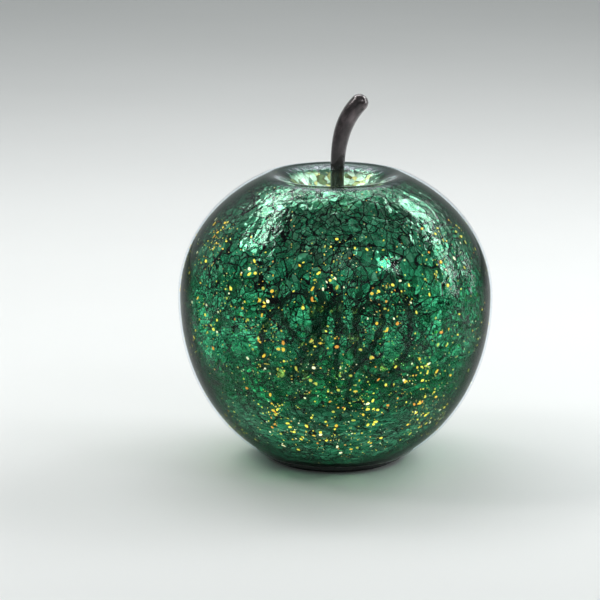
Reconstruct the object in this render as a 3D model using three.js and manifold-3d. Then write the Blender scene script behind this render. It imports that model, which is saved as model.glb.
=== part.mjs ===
// A hollow crackle-glass apple with a bent metal stem, lit from inside by a looped light string.
// Millimetres, +Z up. The origin is the centre of the foot, on the surface that the apple stands on.
import * as THREE from 'three';
import { mergeVertices } from 'three/addons/utils/BufferGeometryUtils.js';
import Module from 'manifold-3d';

const wasm = await Module();
wasm.setup();

// Glass body
const BODY_RADIUS = 80;
const WAIST_HEIGHT = 84;
const SHOULDER_RISE = 70.2;
const SEAT_OVERHANG = 4;
const BELLY_POWER = 2.05;
const GLASS_WALL = 3;
const RIM_RADIUS = 33;
const LIP_WIDTH = 5;
const LIP_ROUNDING = 0.55;
const DIMPLE_DEPTH = 19;
const GLASS_SIDES = 48;
const OUTER_STEPS = { belly: 11, shoulder: 11, lip: 3, dimple: 9 };
const INNER_STEPS = { belly: 8, shoulder: 8, lip: 2, dimple: 7 };

// Stem
const STEM_FOOT_RADIUS = 3.5;
const STEM_TIP_RADIUS = 4.6;
const STEM_OFFSET = 0.9;
const STEM_REACH = 10.9;
const STEM_RISE = 36.3;
const STEM_TIP_LEAN = 43.8;
const STEM_FOOT_PULL = 0.42;
const STEM_TIP_PULL = 0.335;
const STEM_SWELL_START = 0.3;
const STEM_SWELL_END = 0.92;
const STEM_STEPS = 18;
const STEM_DOME_STEPS = 4;
const STEM_SIDES = 14;
const ADHESIVE_WIDTH = 4.5;
const ADHESIVE_RISE = 3.4;
const ADHESIVE_STEPS = 3;
const ADHESIVE_SIDES = 20;

// Cells, contacts and their bay
const CELL_COUNT = 3;
const CELL_RADIUS = 5.25;
const CELL_LENGTH = 44.5;
const CELL_NUB_RADIUS = 1.9;
const CELL_NUB_LENGTH = 0.8;
const CELL_EDGE = 0.5;
const CELL_SPACING = 0.5;
const CELL_SIDE_ROOM = 0.35;
const CELL_HEADROOM = 0.4;
const CONTACT_ROOM = 3.8;
const CELL_SHIFT = 1.5;
const CELL_SIDES = 20;
const BUTTON_RADIUS = 2.2;
const BUTTON_FACE_SHARE = 0.7;
const BUTTON_SIDES = 14;
const PLATE_THICKNESS = 0.4;
const PLATE_SIZE = 8;
const SPRING_TURNS = 3;
const SPRING_WIRE_RADIUS = 0.3;
const SPRING_BASE_RADIUS = 3.2;
const SPRING_TIP_RADIUS = 1;
const SPRING_LEG = 0.7;
const SPRING_LEG_SHARE = 0.06;
const SPRING_STEPS = 26;
const SPRING_SIDES = 5;
const BAY_WALL = 1.2;
const BAY_WALL_RISE = 9.4;

// Housing, foot and seal
const CUP_CLEARANCE = 0.1;
const CUP_WALL = 1.5;
const FLANGE_WIDTH = 4;
const FLANGE_THICKNESS = 1.7;
const FOOT_OVERHANG = 0.8;
const FOOT_WIDTH = 2.5;
const FOOT_THICKNESS = 1.4;
const EDGE_CHAMFER = 0.4;
const SEAL_THICKNESS = 0.6;
const SEAL_SKIRT = 4;
const ROUND_SIDES = 48;
const SMALL_SIDES = 12;
const BOSS_SIDES = 16;

// Door
const DOOR_THICKNESS = 1.5;
const DOOR_END_ROOM = 2.45;
const DOOR_LEDGE = 1;
const LEDGE_THICKNESS = 0.7;
const DOOR_FOOT_ROOM = 1.3;
const HINGE_PIN_RADIUS = 0.55;
const HINGE_PIN_LENGTH = 1.6;
const LATCH_WIDTH = 9;
const LATCH_RISE = 2;
const NOTCH_RADIUS = 5;
const NOTCH_DEPTH = 0.6;
const NOTCH_SIDES = 24;
const CORNER_STEPS = 3;

// Lid, bosses and screws
const CAP_THICKNESS = 1.6;
const CAP_RIB_DEPTH = 2.3;
const CAP_RIB_WIDTH = 1.4;
const CAP_RIB_LENGTH = 34;
const BOSS_RADIUS = 2.8;
const BOSS_WALL_GAP = 0.5;
const BOSS_BOARD_GAP = 0.7;
const SCREW_RADIUS = 0.9;
const SCREW_LENGTH = 8;
const SCREW_HEAD_RADIUS = 2.4;
const SCREW_HEAD_RISE = 1.5;
const SCREW_EDGE_WIDTH_SHARE = 0.92;
const SCREW_EDGE_RISE_SHARE = 0.6;
const SCREW_TOP_SHARE = 0.5;
const PILOT_SPARE = 1;

// Timer circuit and switch
const BOARD_LENGTH = 21;
const BOARD_WIDTH = 8.2;
const BOARD_THICKNESS = 1.2;
const BOARD_WALL_GAP = 0.7;
const SWITCH_LENGTH = 10;
const SWITCH_WIDTH = 5;
const SWITCH_HEIGHT = 3.8;
const SLIDER_LENGTH = 3;
const SLIDER_WIDTH = 2;
const SLIDER_TRAVEL = 4;
const SLIDER_PROUD = 0.8;
const SLIDER_DEPTH = 1.9;
const CHIP_LENGTH = 5;
const CHIP_WIDTH = 4;
const CHIP_HEIGHT = 1.5;
const CHIP_OFFSET = -4.6;
const LEAD_RADIUS = 0.6;
const LEAD_LIFT = 0.2;
const PAD_INSET = 1.6;
const LEAD_SIDES = 6;
const RED_LEAD_STEPS = 26;
const BLACK_LEAD_STEPS = 40;

// Light string
const CABLE_RADIUS = 1;
const CABLE_SIDES = 6;
const CURVE_DIVISIONS = 2000;
const CABLE_OUTLET_X = 6.5;
const GROMMET_WALL = 1;
const GROMMET_FLANGE = 1;
const GROMMET_RISE = 1.2;
const LOOP_COUNT = 6;
const LOOP_STEPS = 24;
const LOOP_CENTRE_RADIUS = 24.5;
const LOOP_HALF_WIDTH = 12.5;
const LOOP_HALF_HEIGHT = 22;
const LOOP_CENTRE_HEIGHT = 67;
const LOOP_SWEEP = 318;
const LOOP_START_ANGLE = 76;
const LOOP_SLANT = 0.22;
const LOOP_WIDTH_SPREAD = 0.14;
const LOOP_WIDTH_BEAT = 2.3;
const LOOP_HEIGHT_SPREAD = 0.13;
const LOOP_HEIGHT_BEAT = 1.7;
const LOOP_HEIGHT_PHASE = 0.6;
const LOOP_LIFT_SPREAD = 0.12;
const LOOP_LIFT_BEAT = 3.1;
const LEAD_IN_STEPS = 8;
const LAMP_COUNT = 18;
const LAMP_RADIUS = 2.7;
const LAMP_LENGTH = 4;
const LAMP_SIDES = 8;
const LAMP_WAIST_SHARE = 0.55;
const LAMP_BELT_SHARE = 0.3;
const LAMP_END_RADIUS = 1.9;
const LAMP_END_FOOT_SHARE = 0.8;
const LAMP_END_BELT = 1.6;
const LAMP_END_CROWN = 3.4;
const LAMP_END_CROWN_SHARE = 0.75;
const LAMP_END_LENGTH = 4;
const LAMP_FIRST_STEP = 14;

// Clearance between pieces that touch, and how far a cut runs past a face
const TOUCH_GAP = 0.3;
const CUT_PAST = 1;
const GAP_SAMPLES = 900;

const degrees = THREE.MathUtils.degToRad;
const point = (x, y) => new THREE.Vector2(x, y);
const place = (x, y, z) => new THREE.Vector3(x, y, z);

// Plan of the cells and of what goes round them
const CELL_PITCH = 2 * CELL_RADIUS + CELL_SPACING;
const CELL_ROW_HALF = ((CELL_COUNT - 1) / 2) * CELL_PITCH;
const PLATE_FACE_X = CELL_LENGTH / 2 + CONTACT_ROOM;
const PLATE_OUTER_Y = CELL_ROW_HALF + PLATE_SIZE / 2;
const BAY_END_X = PLATE_FACE_X + PLATE_THICKNESS + TOUCH_GAP;
const CUP_INNER_RADIUS = Math.hypot(PLATE_FACE_X + PLATE_THICKNESS, PLATE_OUTER_Y) + CUP_CLEARANCE;
const CUP_RADIUS = CUP_INNER_RADIUS + CUP_WALL;
const FLANGE_RADIUS = CUP_RADIUS + FLANGE_WIDTH;
const FOOT_OUTER_RADIUS = CUP_RADIUS + FOOT_OVERHANG;
const FOOT_INNER_RADIUS = FOOT_OUTER_RADIUS - FOOT_WIDTH;
const OPENING_HALF_WIDTH = CELL_ROW_HALF + CELL_RADIUS + CELL_SIDE_ROOM;
const DOOR_HALF_WIDTH = OPENING_HALF_WIDTH + DOOR_LEDGE - TOUCH_GAP;
const DOOR_HALF_LENGTH = CELL_LENGTH / 2 + DOOR_END_ROOM;
const DOOR_CORNER_RADIUS = FOOT_INNER_RADIUS - DOOR_FOOT_ROOM;
const BAY_HALF_WIDTH = OPENING_HALF_WIDTH + DOOR_LEDGE / 2;
const BAY_OUTER_Y = BAY_HALF_WIDTH + BAY_WALL;
const BOARD_REACH = BAY_OUTER_Y + BOARD_WALL_GAP + BOARD_WIDTH / 2;
const BOSS_X = BOARD_LENGTH / 2 + BOSS_BOARD_GAP + BOSS_RADIUS;
const BOSS_Y = Math.sqrt((CUP_INNER_RADIUS - BOSS_WALL_GAP - BOSS_RADIUS) ** 2 - BOSS_X ** 2);

// Heights, from the ground up
const FLOOR_BOTTOM = FOOT_THICKNESS + TOUCH_GAP;
const DOOR_TOP = FLOOR_BOTTOM + DOOR_THICKNESS;
const DOOR_RECESS_TOP = DOOR_TOP + TOUCH_GAP;
const FLOOR_TOP = DOOR_RECESS_TOP + LEDGE_THICKNESS;
const HINGE_HEIGHT = FLOOR_BOTTOM + DOOR_THICKNESS / 2;
const HINGE_X = DOOR_THICKNESS / 2 - DOOR_HALF_LENGTH;
const HINGE_HALF = Math.sqrt(DOOR_CORNER_RADIUS ** 2 - HINGE_X ** 2);
const FLANGE_TOP = FLOOR_BOTTOM + FLANGE_THICKNESS;
const SEAL_BOTTOM = FLANGE_TOP + TOUCH_GAP;
const GLASS_SEAT = SEAL_BOTTOM + SEAL_THICKNESS + TOUCH_GAP;
const GLASS_BORE = CUP_RADIUS + SEAL_THICKNESS + 2 * TOUCH_GAP;
const CELL_HEIGHT = FLOOR_TOP + TOUCH_GAP + CELL_RADIUS;
const CUP_TOP = CELL_HEIGHT + CELL_RADIUS + CELL_HEADROOM;
const BAY_WALL_TOP = FLOOR_TOP + BAY_WALL_RISE;
const CAP_BOTTOM = CUP_TOP + TOUCH_GAP;
const CAP_TOP = CAP_BOTTOM + CAP_THICKNESS;
const SCREW_SEAT = CAP_TOP + TOUCH_GAP;
const SWITCH_BOTTOM = FLOOR_TOP + TOUCH_GAP;
const BOARD_BOTTOM = SWITCH_BOTTOM + SWITCH_HEIGHT + TOUCH_GAP;
const BOARD_TOP = BOARD_BOTTOM + BOARD_THICKNESS;
const SLOT_HALF = (SLIDER_TRAVEL + SLIDER_LENGTH) / 2 + TOUCH_GAP;
const SLOT_SIDE = SLIDER_WIDTH / 2 + TOUCH_GAP;

// The belly's curve, which meets the seat's edge, and the rim's widths and heights
const SEAT_RADIUS = FLANGE_RADIUS + SEAT_OVERHANG;
const SEAT_ANGLE = Math.acos((SEAT_RADIUS / BODY_RADIUS) ** (BELLY_POWER / 2));
const BELLY_DROP = (WAIST_HEIGHT - GLASS_SEAT) / Math.sin(SEAT_ANGLE) ** (2 / BELLY_POWER);
const LIP_ANGLE = Math.acos((RIM_RADIUS + LIP_WIDTH) / BODY_RADIUS);
const LIP_SLOPE = (SHOULDER_RISE * Math.cos(LIP_ANGLE)) / (BODY_RADIUS * Math.sin(LIP_ANGLE));
const LIP_START = WAIST_HEIGHT + SHOULDER_RISE * Math.sin(LIP_ANGLE);
const RIM_HEIGHT = LIP_START + LIP_WIDTH * LIP_ROUNDING * LIP_SLOPE;

// Materials
function finish(color, roughness, metalness = 0) {
  return new THREE.MeshStandardMaterial({ color, roughness, metalness });
}
const crackleGlass = finish(0x1f6b4a, 0.12);
const darkMetal = finish(0x2b2527, 0.3, 0.9);
const clearAdhesive = finish(0xcfd8d4, 0.15);
const blackPlastic = finish(0x121314, 0.45);
const blackRubber = finish(0x0b0b0c, 0.8);
const sealRubber = finish(0x3a3d3c, 0.7);
const greyPlastic = finish(0x9a9c9e, 0.5);
const cellJacket = finish(0x24406b, 0.35, 0.3);
const nickelSteel = finish(0xb9bbbd, 0.3, 1);
const boardLacquer = finish(0x1d5a34, 0.4);
const chipResin = finish(0x17181a, 0.55);
const redWire = finish(0xa3201c, 0.5);
const blackWire = finish(0x141414, 0.5);
const cableSheath = finish(0x0f1a14, 0.5);
const lampResin = finish(0xffe3a0, 0.1);

const apple = new THREE.Group();

function add(name, geometry, material) {
  const mesh = new THREE.Mesh(geometry, material);
  mesh.name = name;
  apple.add(mesh);
  return mesh;
}

// Closed solids and their cuts
function toSolid(geometry) {
  const bare = geometry.clone();
  bare.deleteAttribute('normal');
  bare.deleteAttribute('uv');
  const merged = mergeVertices(bare, 1e-4);
  return new wasm.Manifold(new wasm.Mesh({
    numProp: 3,
    vertProperties: new Float32Array(merged.attributes.position.array),
    triVerts: new Uint32Array(merged.index.array),
  }));
}

function toGeometry(solid) {
  const mesh = solid.getMesh();
  const geometry = new THREE.BufferGeometry();
  geometry.setAttribute('position', new THREE.BufferAttribute(mesh.vertProperties, 3));
  geometry.setIndex(new THREE.BufferAttribute(mesh.triVerts, 1));
  return geometry;
}

function join(base, ...others) {
  return others.reduce((solid, other) => solid.add(toSolid(other)), base);
}

function cut(base, ...others) {
  return others.reduce((solid, other) => solid.subtract(toSolid(other)), base);
}

// A profile of (radius, height) points turned about Z; it runs counter-clockwise round the section.
function turned(profile, sides = ROUND_SIDES) {
  const geometry = new THREE.LatheGeometry(profile, sides);
  geometry.rotateX(Math.PI / 2);
  return geometry;
}

function disc(radius, bottom, top, sides = ROUND_SIDES) {
  return turned([point(0, bottom), point(radius, bottom), point(radius, top), point(0, top)], sides);
}

function block(x0, x1, y0, y1, z0, z1) {
  const geometry = new THREE.BoxGeometry(x1 - x0, y1 - y0, z1 - z0);
  geometry.translate((x0 + x1) / 2, (y0 + y1) / 2, (z0 + z1) / 2);
  return geometry;
}

function plate(outline, bottom, top) {
  const geometry = new THREE.ExtrudeGeometry(new THREE.Shape(outline), {
    depth: top - bottom, bevelEnabled: false, curveSegments: 1,
  });
  geometry.translate(0, 0, bottom);
  return geometry;
}

function tube(curve, radius, steps, sides) {
  const section = new THREE.Shape();
  for (let i = 0; i < sides; i += 1) {
    const angle = (i / sides) * 2 * Math.PI;
    const corner = point(radius * Math.cos(angle), radius * Math.sin(angle));
    if (i === 0) {
      section.moveTo(corner.x, corner.y);
    } else {
      section.lineTo(corner.x, corner.y);
    }
  }
  section.closePath();
  return new THREE.ExtrudeGeometry(section, { steps, bevelEnabled: false, extrudePath: curve });
}

// The apple's section, from the outer edge of the seat over the shoulder and the lip to the dimple's floor.
function appleOutline(steps) {
  const outline = [];
  for (let i = 0; i < steps.belly; i += 1) {
    const angle = SEAT_ANGLE * (1 - i / steps.belly);
    const radius = BODY_RADIUS * Math.cos(angle) ** (2 / BELLY_POWER);
    outline.push(point(radius, WAIST_HEIGHT - BELLY_DROP * Math.sin(angle) ** (2 / BELLY_POWER)));
  }
  for (let i = 0; i <= steps.shoulder; i += 1) {
    const angle = (LIP_ANGLE * i) / steps.shoulder;
    outline.push(point(BODY_RADIUS * Math.cos(angle), WAIST_HEIGHT + SHOULDER_RISE * Math.sin(angle)));
  }
  const lipCurve = new THREE.QuadraticBezierCurve(
    point(RIM_RADIUS + LIP_WIDTH, LIP_START),
    point(RIM_RADIUS + LIP_WIDTH * (1 - LIP_ROUNDING), RIM_HEIGHT),
    point(RIM_RADIUS, RIM_HEIGHT),
  );
  for (let i = 1; i <= steps.lip; i += 1) {
    outline.push(lipCurve.getPoint(i / steps.lip));
  }
  for (let i = 1; i <= steps.dimple; i += 1) {
    const radius = RIM_RADIUS * (1 - i / steps.dimple);
    outline.push(point(radius, dimpleHeight(radius)));
  }
  return outline;
}

function dimpleHeight(radius) {
  return RIM_HEIGHT - (DIMPLE_DEPTH / 2) * (1 + Math.cos((Math.PI * radius) / RIM_RADIUS));
}

// The outline moved inwards by the wall, each point square to the line through its neighbours.
function innerOutline(outline) {
  const last = outline.length - 1;
  return outline.map((here, i) => {
    const along = outline[Math.min(i + 1, last)].clone().sub(outline[Math.max(i - 1, 0)]).normalize();
    return i === last
      ? point(0, here.y - GLASS_WALL)
      : point(here.x - along.y * GLASS_WALL, here.y + along.x * GLASS_WALL);
  });
}

// The hollow keeps a flat glass floor round the bore, which the housing passes through.
function buildGlass() {
  const outer = appleOutline(OUTER_STEPS);
  const inner = innerOutline(appleOutline(INNER_STEPS));
  const skin = turned([point(0, GLASS_SEAT), ...outer], GLASS_SIDES);
  const hollow = turned([point(0, inner[0].y), ...inner], GLASS_SIDES);
  const bore = disc(GLASS_BORE, GLASS_SEAT - CUT_PAST, inner[0].y + CUT_PAST);
  return toGeometry(cut(toSolid(skin), hollow, bore));
}

// The stem is a swept taper with a domed tip.
function stemCurve() {
  const lean = degrees(STEM_TIP_LEAN);
  const foot = place(STEM_OFFSET, 0, dimpleHeight(STEM_FOOT_RADIUS + STEM_OFFSET) + TOUCH_GAP);
  const tip = place(STEM_OFFSET + STEM_REACH, 0, RIM_HEIGHT + STEM_RISE);
  const rise = tip.z - foot.z;
  const footHandle = place(foot.x, 0, foot.z + rise * STEM_FOOT_PULL);
  const tipPull = rise * STEM_TIP_PULL;
  const tipHandle = place(tip.x - tipPull * Math.sin(lean), 0, tip.z - tipPull * Math.cos(lean));
  return new THREE.CubicBezierCurve3(foot, footHandle, tipHandle, tip);
}

function buildStem() {
  const curve = stemCurve();
  const rings = [];
  for (let i = 0; i <= STEM_STEPS; i += 1) {
    const t = i / STEM_STEPS;
    const swell = THREE.MathUtils.smoothstep(t, STEM_SWELL_START, STEM_SWELL_END);
    const radius = STEM_FOOT_RADIUS + (STEM_TIP_RADIUS - STEM_FOOT_RADIUS) * swell;
    rings.push({ centre: curve.getPointAt(t), along: curve.getTangentAt(t), radius });
  }
  const tip = rings[STEM_STEPS];
  for (let i = 1; i <= STEM_DOME_STEPS; i += 1) {
    const angle = (i / (STEM_DOME_STEPS + 1)) * (Math.PI / 2);
    rings.push({
      centre: tip.centre.clone().addScaledVector(tip.along, STEM_TIP_RADIUS * Math.sin(angle)),
      along: tip.along,
      radius: STEM_TIP_RADIUS * Math.cos(angle),
    });
  }
  const positions = [];
  const index = [];
  const across = place(0, 1, 0);
  for (const { centre, along, radius } of rings) {
    const side = new THREE.Vector3().crossVectors(across, along).normalize();
    for (let k = 0; k < STEM_SIDES; k += 1) {
      const angle = (k / STEM_SIDES) * 2 * Math.PI;
      const corner = centre.clone()
        .addScaledVector(side, radius * Math.cos(angle))
        .addScaledVector(across, radius * Math.sin(angle));
      positions.push(corner.x, corner.y, corner.z);
    }
  }
  for (let i = 0; i < rings.length - 1; i += 1) {
    for (let k = 0; k < STEM_SIDES; k += 1) {
      const next = (k + 1) % STEM_SIDES;
      const a = i * STEM_SIDES + k;
      const b = i * STEM_SIDES + next;
      const c = a + STEM_SIDES;
      const d = b + STEM_SIDES;
      index.push(a, b, d, a, d, c);
    }
  }
  const foot = rings[0].centre;
  const apex = tip.centre.clone().addScaledVector(tip.along, STEM_TIP_RADIUS);
  const footIndex = positions.length / 3;
  positions.push(foot.x, foot.y, foot.z, apex.x, apex.y, apex.z);
  const last = (rings.length - 1) * STEM_SIDES;
  for (let k = 0; k < STEM_SIDES; k += 1) {
    const next = (k + 1) % STEM_SIDES;
    index.push(footIndex, next, k);
    index.push(footIndex + 1, last + k, last + next);
  }
  const geometry = new THREE.BufferGeometry();
  geometry.setAttribute('position', new THREE.Float32BufferAttribute(positions, 3));
  geometry.setIndex(index);
  return geometry;
}

function buildAdhesive() {
  const inner = STEM_FOOT_RADIUS + TOUCH_GAP;
  const outer = inner + ADHESIVE_WIDTH;
  const under = (radius) => dimpleHeight(radius + STEM_OFFSET) + TOUCH_GAP;
  const profile = [];
  for (let i = 0; i <= ADHESIVE_STEPS; i += 1) {
    const radius = inner + (ADHESIVE_WIDTH * i) / ADHESIVE_STEPS;
    profile.push(point(radius, under(radius)));
  }
  for (let i = 0; i <= ADHESIVE_STEPS; i += 1) {
    const share = i / ADHESIVE_STEPS;
    const radius = outer - ADHESIVE_WIDTH * share;
    profile.push(point(radius, under(radius) + TOUCH_GAP + ADHESIVE_RISE * share * share));
  }
  profile.push(profile[0].clone());
  const geometry = turned(profile, ADHESIVE_SIDES);
  geometry.translate(STEM_OFFSET, 0, 0);
  return geometry;
}

// The rectangle of the door or of its opening, with its corners cut by a circle.
function clippedRectangle(halfLength, halfWidth, cornerRadius) {
  const fromAngle = Math.asin(halfWidth / cornerRadius);
  const toAngle = Math.acos(halfLength / cornerRadius);
  const corner = [];
  for (let i = 0; i <= CORNER_STEPS; i += 1) {
    const angle = toAngle + ((fromAngle - toAngle) * i) / CORNER_STEPS;
    corner.push(point(cornerRadius * Math.cos(angle), cornerRadius * Math.sin(angle)));
  }
  const back = corner.slice().reverse();
  return [
    ...corner,
    ...back.map((p) => point(-p.x, p.y)),
    ...corner.map((p) => point(-p.x, -p.y)),
    ...back.map((p) => point(p.x, -p.y)),
  ];
}

const bossPlaces = [
  point(BOSS_X, BOSS_Y), point(-BOSS_X, BOSS_Y), point(-BOSS_X, -BOSS_Y), point(BOSS_X, -BOSS_Y),
];

function moved(geometry, x, y, z = 0) {
  geometry.translate(x, y, z);
  return geometry;
}

function buildHousing() {
  let housing = toSolid(turned([
    point(0, FLOOR_BOTTOM),
    point(FLANGE_RADIUS - EDGE_CHAMFER, FLOOR_BOTTOM),
    point(FLANGE_RADIUS, FLOOR_BOTTOM + EDGE_CHAMFER),
    point(FLANGE_RADIUS, FLANGE_TOP),
    point(CUP_RADIUS, FLANGE_TOP),
    point(CUP_RADIUS, CUP_TOP),
    point(CUP_INNER_RADIUS, CUP_TOP),
    point(CUP_INNER_RADIUS, FLOOR_TOP),
    point(0, FLOOR_TOP),
  ]));
  const wallFoot = FLOOR_TOP - LEDGE_THICKNESS / 2;
  const sideHalf = Math.sqrt(CUP_INNER_RADIUS ** 2 - BAY_HALF_WIDTH ** 2) + CUP_WALL / 3;
  for (const side of [-1, 1]) {
    const y = side * (BAY_HALF_WIDTH + BAY_WALL / 2);
    const x = side * (BAY_END_X + BAY_WALL / 2);
    housing = join(
      housing,
      block(-sideHalf, sideHalf, y - BAY_WALL / 2, y + BAY_WALL / 2, wallFoot, BAY_WALL_TOP),
      block(x - BAY_WALL / 2, x + BAY_WALL / 2, -PLATE_OUTER_Y, PLATE_OUTER_Y, wallFoot, BAY_WALL_TOP),
    );
  }
  for (const boss of bossPlaces) {
    const pilotEnd = SCREW_SEAT - SCREW_LENGTH - PILOT_SPARE;
    const pilot = disc(SCREW_RADIUS + TOUCH_GAP, pilotEnd, CUP_TOP + CUT_PAST, SMALL_SIDES);
    housing = join(housing, moved(disc(BOSS_RADIUS, wallFoot, CUP_TOP, BOSS_SIDES), boss.x, boss.y));
    housing = cut(housing, moved(pilot, boss.x, boss.y));
  }
  const below = FLOOR_BOTTOM - CUT_PAST;
  const above = FLOOR_TOP + CUT_PAST;
  const recess = clippedRectangle(
    DOOR_HALF_LENGTH + TOUCH_GAP, DOOR_HALF_WIDTH + TOUCH_GAP, DOOR_CORNER_RADIUS + TOUCH_GAP,
  );
  const openingCorner = DOOR_CORNER_RADIUS + TOUCH_GAP - DOOR_LEDGE;
  const opening = clippedRectangle(
    DOOR_HALF_LENGTH + TOUCH_GAP - DOOR_LEDGE, OPENING_HALF_WIDTH, openingCorner,
  );
  const pinReach = HINGE_HALF + HINGE_PIN_LENGTH + TOUCH_GAP;
  const pinHalf = HINGE_PIN_RADIUS + TOUCH_GAP;
  const latchHalf = LATCH_WIDTH / 2 + TOUCH_GAP;
  const latchOuter = DOOR_HALF_LENGTH + TOUCH_GAP;
  return toGeometry(cut(
    housing,
    plate(recess, below, DOOR_RECESS_TOP),
    plate(opening, below, above),
    block(HINGE_X - pinHalf, HINGE_X + pinHalf, -pinReach, pinReach, below, HINGE_HEIGHT + pinHalf),
    block(latchOuter - 2 * DOOR_LEDGE, latchOuter, -latchHalf, latchHalf, below, above),
    block(-SLOT_HALF, SLOT_HALF, BOARD_REACH - SLOT_SIDE, BOARD_REACH + SLOT_SIDE, below, above),
  ));
}

// The door turns on pins moulded at its rounded edge; a springy tongue holds the other end.
function buildDoor() {
  const outline = clippedRectangle(DOOR_HALF_LENGTH, DOOR_HALF_WIDTH, DOOR_CORNER_RADIUS);
  const below = FLOOR_BOTTOM - CUT_PAST;
  const above = DOOR_TOP + CUT_PAST;
  const notch = disc(NOTCH_RADIUS, below, FLOOR_BOTTOM + NOTCH_DEPTH, NOTCH_SIDES);
  const pastHinge = -DOOR_HALF_LENGTH - CUT_PAST;
  const hingeEnd = block(pastHinge, HINGE_X, -DOOR_HALF_WIDTH, DOOR_HALF_WIDTH, below, above);
  const edgeRadius = DOOR_THICKNESS / 2;
  const edge = new THREE.CylinderGeometry(edgeRadius, edgeRadius, 2 * HINGE_HALF, SMALL_SIDES);
  const pinLength = 2 * (HINGE_HALF + HINGE_PIN_LENGTH);
  const pin = new THREE.CylinderGeometry(HINGE_PIN_RADIUS, HINGE_PIN_RADIUS, pinLength, SMALL_SIDES);
  const latchX = DOOR_HALF_LENGTH - DOOR_LEDGE;
  const latchFoot = DOOR_TOP - DOOR_THICKNESS / 4;
  const latch = block(
    latchX - DOOR_LEDGE / 2, latchX + DOOR_LEDGE / 2,
    -LATCH_WIDTH / 2, LATCH_WIDTH / 2,
    latchFoot, DOOR_TOP + LATCH_RISE,
  );
  return toGeometry(join(
    cut(toSolid(plate(outline, FLOOR_BOTTOM, DOOR_TOP)), hingeEnd, moved(notch, DOOR_HALF_LENGTH, 0)),
    moved(edge, HINGE_X, 0, HINGE_HEIGHT),
    moved(pin, HINGE_X, 0, HINGE_HEIGHT),
    latch,
  ));
}

function buildSeal() {
  const inner = CUP_RADIUS + TOUCH_GAP;
  const outer = inner + SEAL_THICKNESS;
  return turned([
    point(inner, SEAL_BOTTOM),
    point(FLANGE_RADIUS, SEAL_BOTTOM),
    point(FLANGE_RADIUS, SEAL_BOTTOM + SEAL_THICKNESS),
    point(outer, SEAL_BOTTOM + SEAL_THICKNESS),
    point(outer, SEAL_BOTTOM + SEAL_SKIRT),
    point(inner, SEAL_BOTTOM + SEAL_SKIRT),
    point(inner, SEAL_BOTTOM),
  ]);
}

function buildFootRing() {
  return turned([
    point(FOOT_INNER_RADIUS, 0),
    point(FOOT_OUTER_RADIUS - EDGE_CHAMFER, 0),
    point(FOOT_OUTER_RADIUS, EDGE_CHAMFER),
    point(FOOT_OUTER_RADIUS, FOOT_THICKNESS),
    point(FOOT_INNER_RADIUS, FOOT_THICKNESS),
    point(FOOT_INNER_RADIUS, 0),
  ]);
}

// The lid's ribs reach down between the cells and keep them apart.
function buildCap() {
  let cap = toSolid(disc(CUP_RADIUS, CAP_BOTTOM, CAP_TOP));
  for (let i = 0.5; i < CELL_COUNT - 1; i += 1) {
    const y = i * CELL_PITCH - CELL_ROW_HALF;
    cap = join(cap, block(
      -CAP_RIB_LENGTH / 2, CAP_RIB_LENGTH / 2, y - CAP_RIB_WIDTH / 2, y + CAP_RIB_WIDTH / 2,
      CAP_BOTTOM - CAP_RIB_DEPTH, CAP_BOTTOM + CAP_THICKNESS / 2,
    ));
  }
  const holes = bossPlaces.map((boss) => moved(
    disc(SCREW_RADIUS + TOUCH_GAP, CAP_BOTTOM - CUT_PAST, CAP_TOP + CUT_PAST, SMALL_SIDES), boss.x, boss.y,
  ));
  const outletRadius = CABLE_RADIUS + GROMMET_WALL + 2 * TOUCH_GAP;
  const outlet = disc(outletRadius, CAP_BOTTOM - CUT_PAST, CAP_TOP + CUT_PAST, BOSS_SIDES);
  return toGeometry(cut(cap, ...holes, moved(outlet, CABLE_OUTLET_X, BOARD_REACH)));
}

function buildGrommet() {
  const bore = CABLE_RADIUS + TOUCH_GAP;
  const neck = bore + GROMMET_WALL;
  return moved(turned([
    point(bore, CAP_BOTTOM),
    point(neck, CAP_BOTTOM),
    point(neck, SCREW_SEAT),
    point(neck + GROMMET_FLANGE, SCREW_SEAT),
    point(neck + GROMMET_FLANGE / 2, SCREW_SEAT + GROMMET_RISE),
    point(bore, SCREW_SEAT + GROMMET_RISE),
    point(bore, CAP_BOTTOM),
  ], BOSS_SIDES), CABLE_OUTLET_X, BOARD_REACH);
}

function buildScrew(boss) {
  const tip = SCREW_SEAT - SCREW_LENGTH;
  return moved(turned([
    point(0, tip),
    point(SCREW_RADIUS, tip + SCREW_RADIUS),
    point(SCREW_RADIUS, SCREW_SEAT),
    point(SCREW_HEAD_RADIUS, SCREW_SEAT),
    point(SCREW_HEAD_RADIUS * SCREW_EDGE_WIDTH_SHARE, SCREW_SEAT + SCREW_HEAD_RISE * SCREW_EDGE_RISE_SHARE),
    point(SCREW_HEAD_RADIUS * SCREW_TOP_SHARE, SCREW_SEAT + SCREW_HEAD_RISE),
    point(0, SCREW_SEAT + SCREW_HEAD_RISE),
  ], SMALL_SIDES), boss.x, boss.y);
}

// A cell lies along X; plusSide tells which end its nub faces.
function buildCell(plusSide) {
  const half = CELL_LENGTH / 2;
  const shoulder = half - CELL_NUB_LENGTH;
  const geometry = turned([
    point(0, -half),
    point(CELL_RADIUS - CELL_EDGE, -half),
    point(CELL_RADIUS, -half + CELL_EDGE),
    point(CELL_RADIUS, shoulder - CELL_EDGE),
    point(CELL_RADIUS - CELL_EDGE, shoulder),
    point(CELL_NUB_RADIUS, shoulder),
    point(CELL_NUB_RADIUS, half),
    point(0, half),
  ], CELL_SIDES);
  geometry.rotateY((plusSide * Math.PI) / 2);
  return geometry;
}

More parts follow.
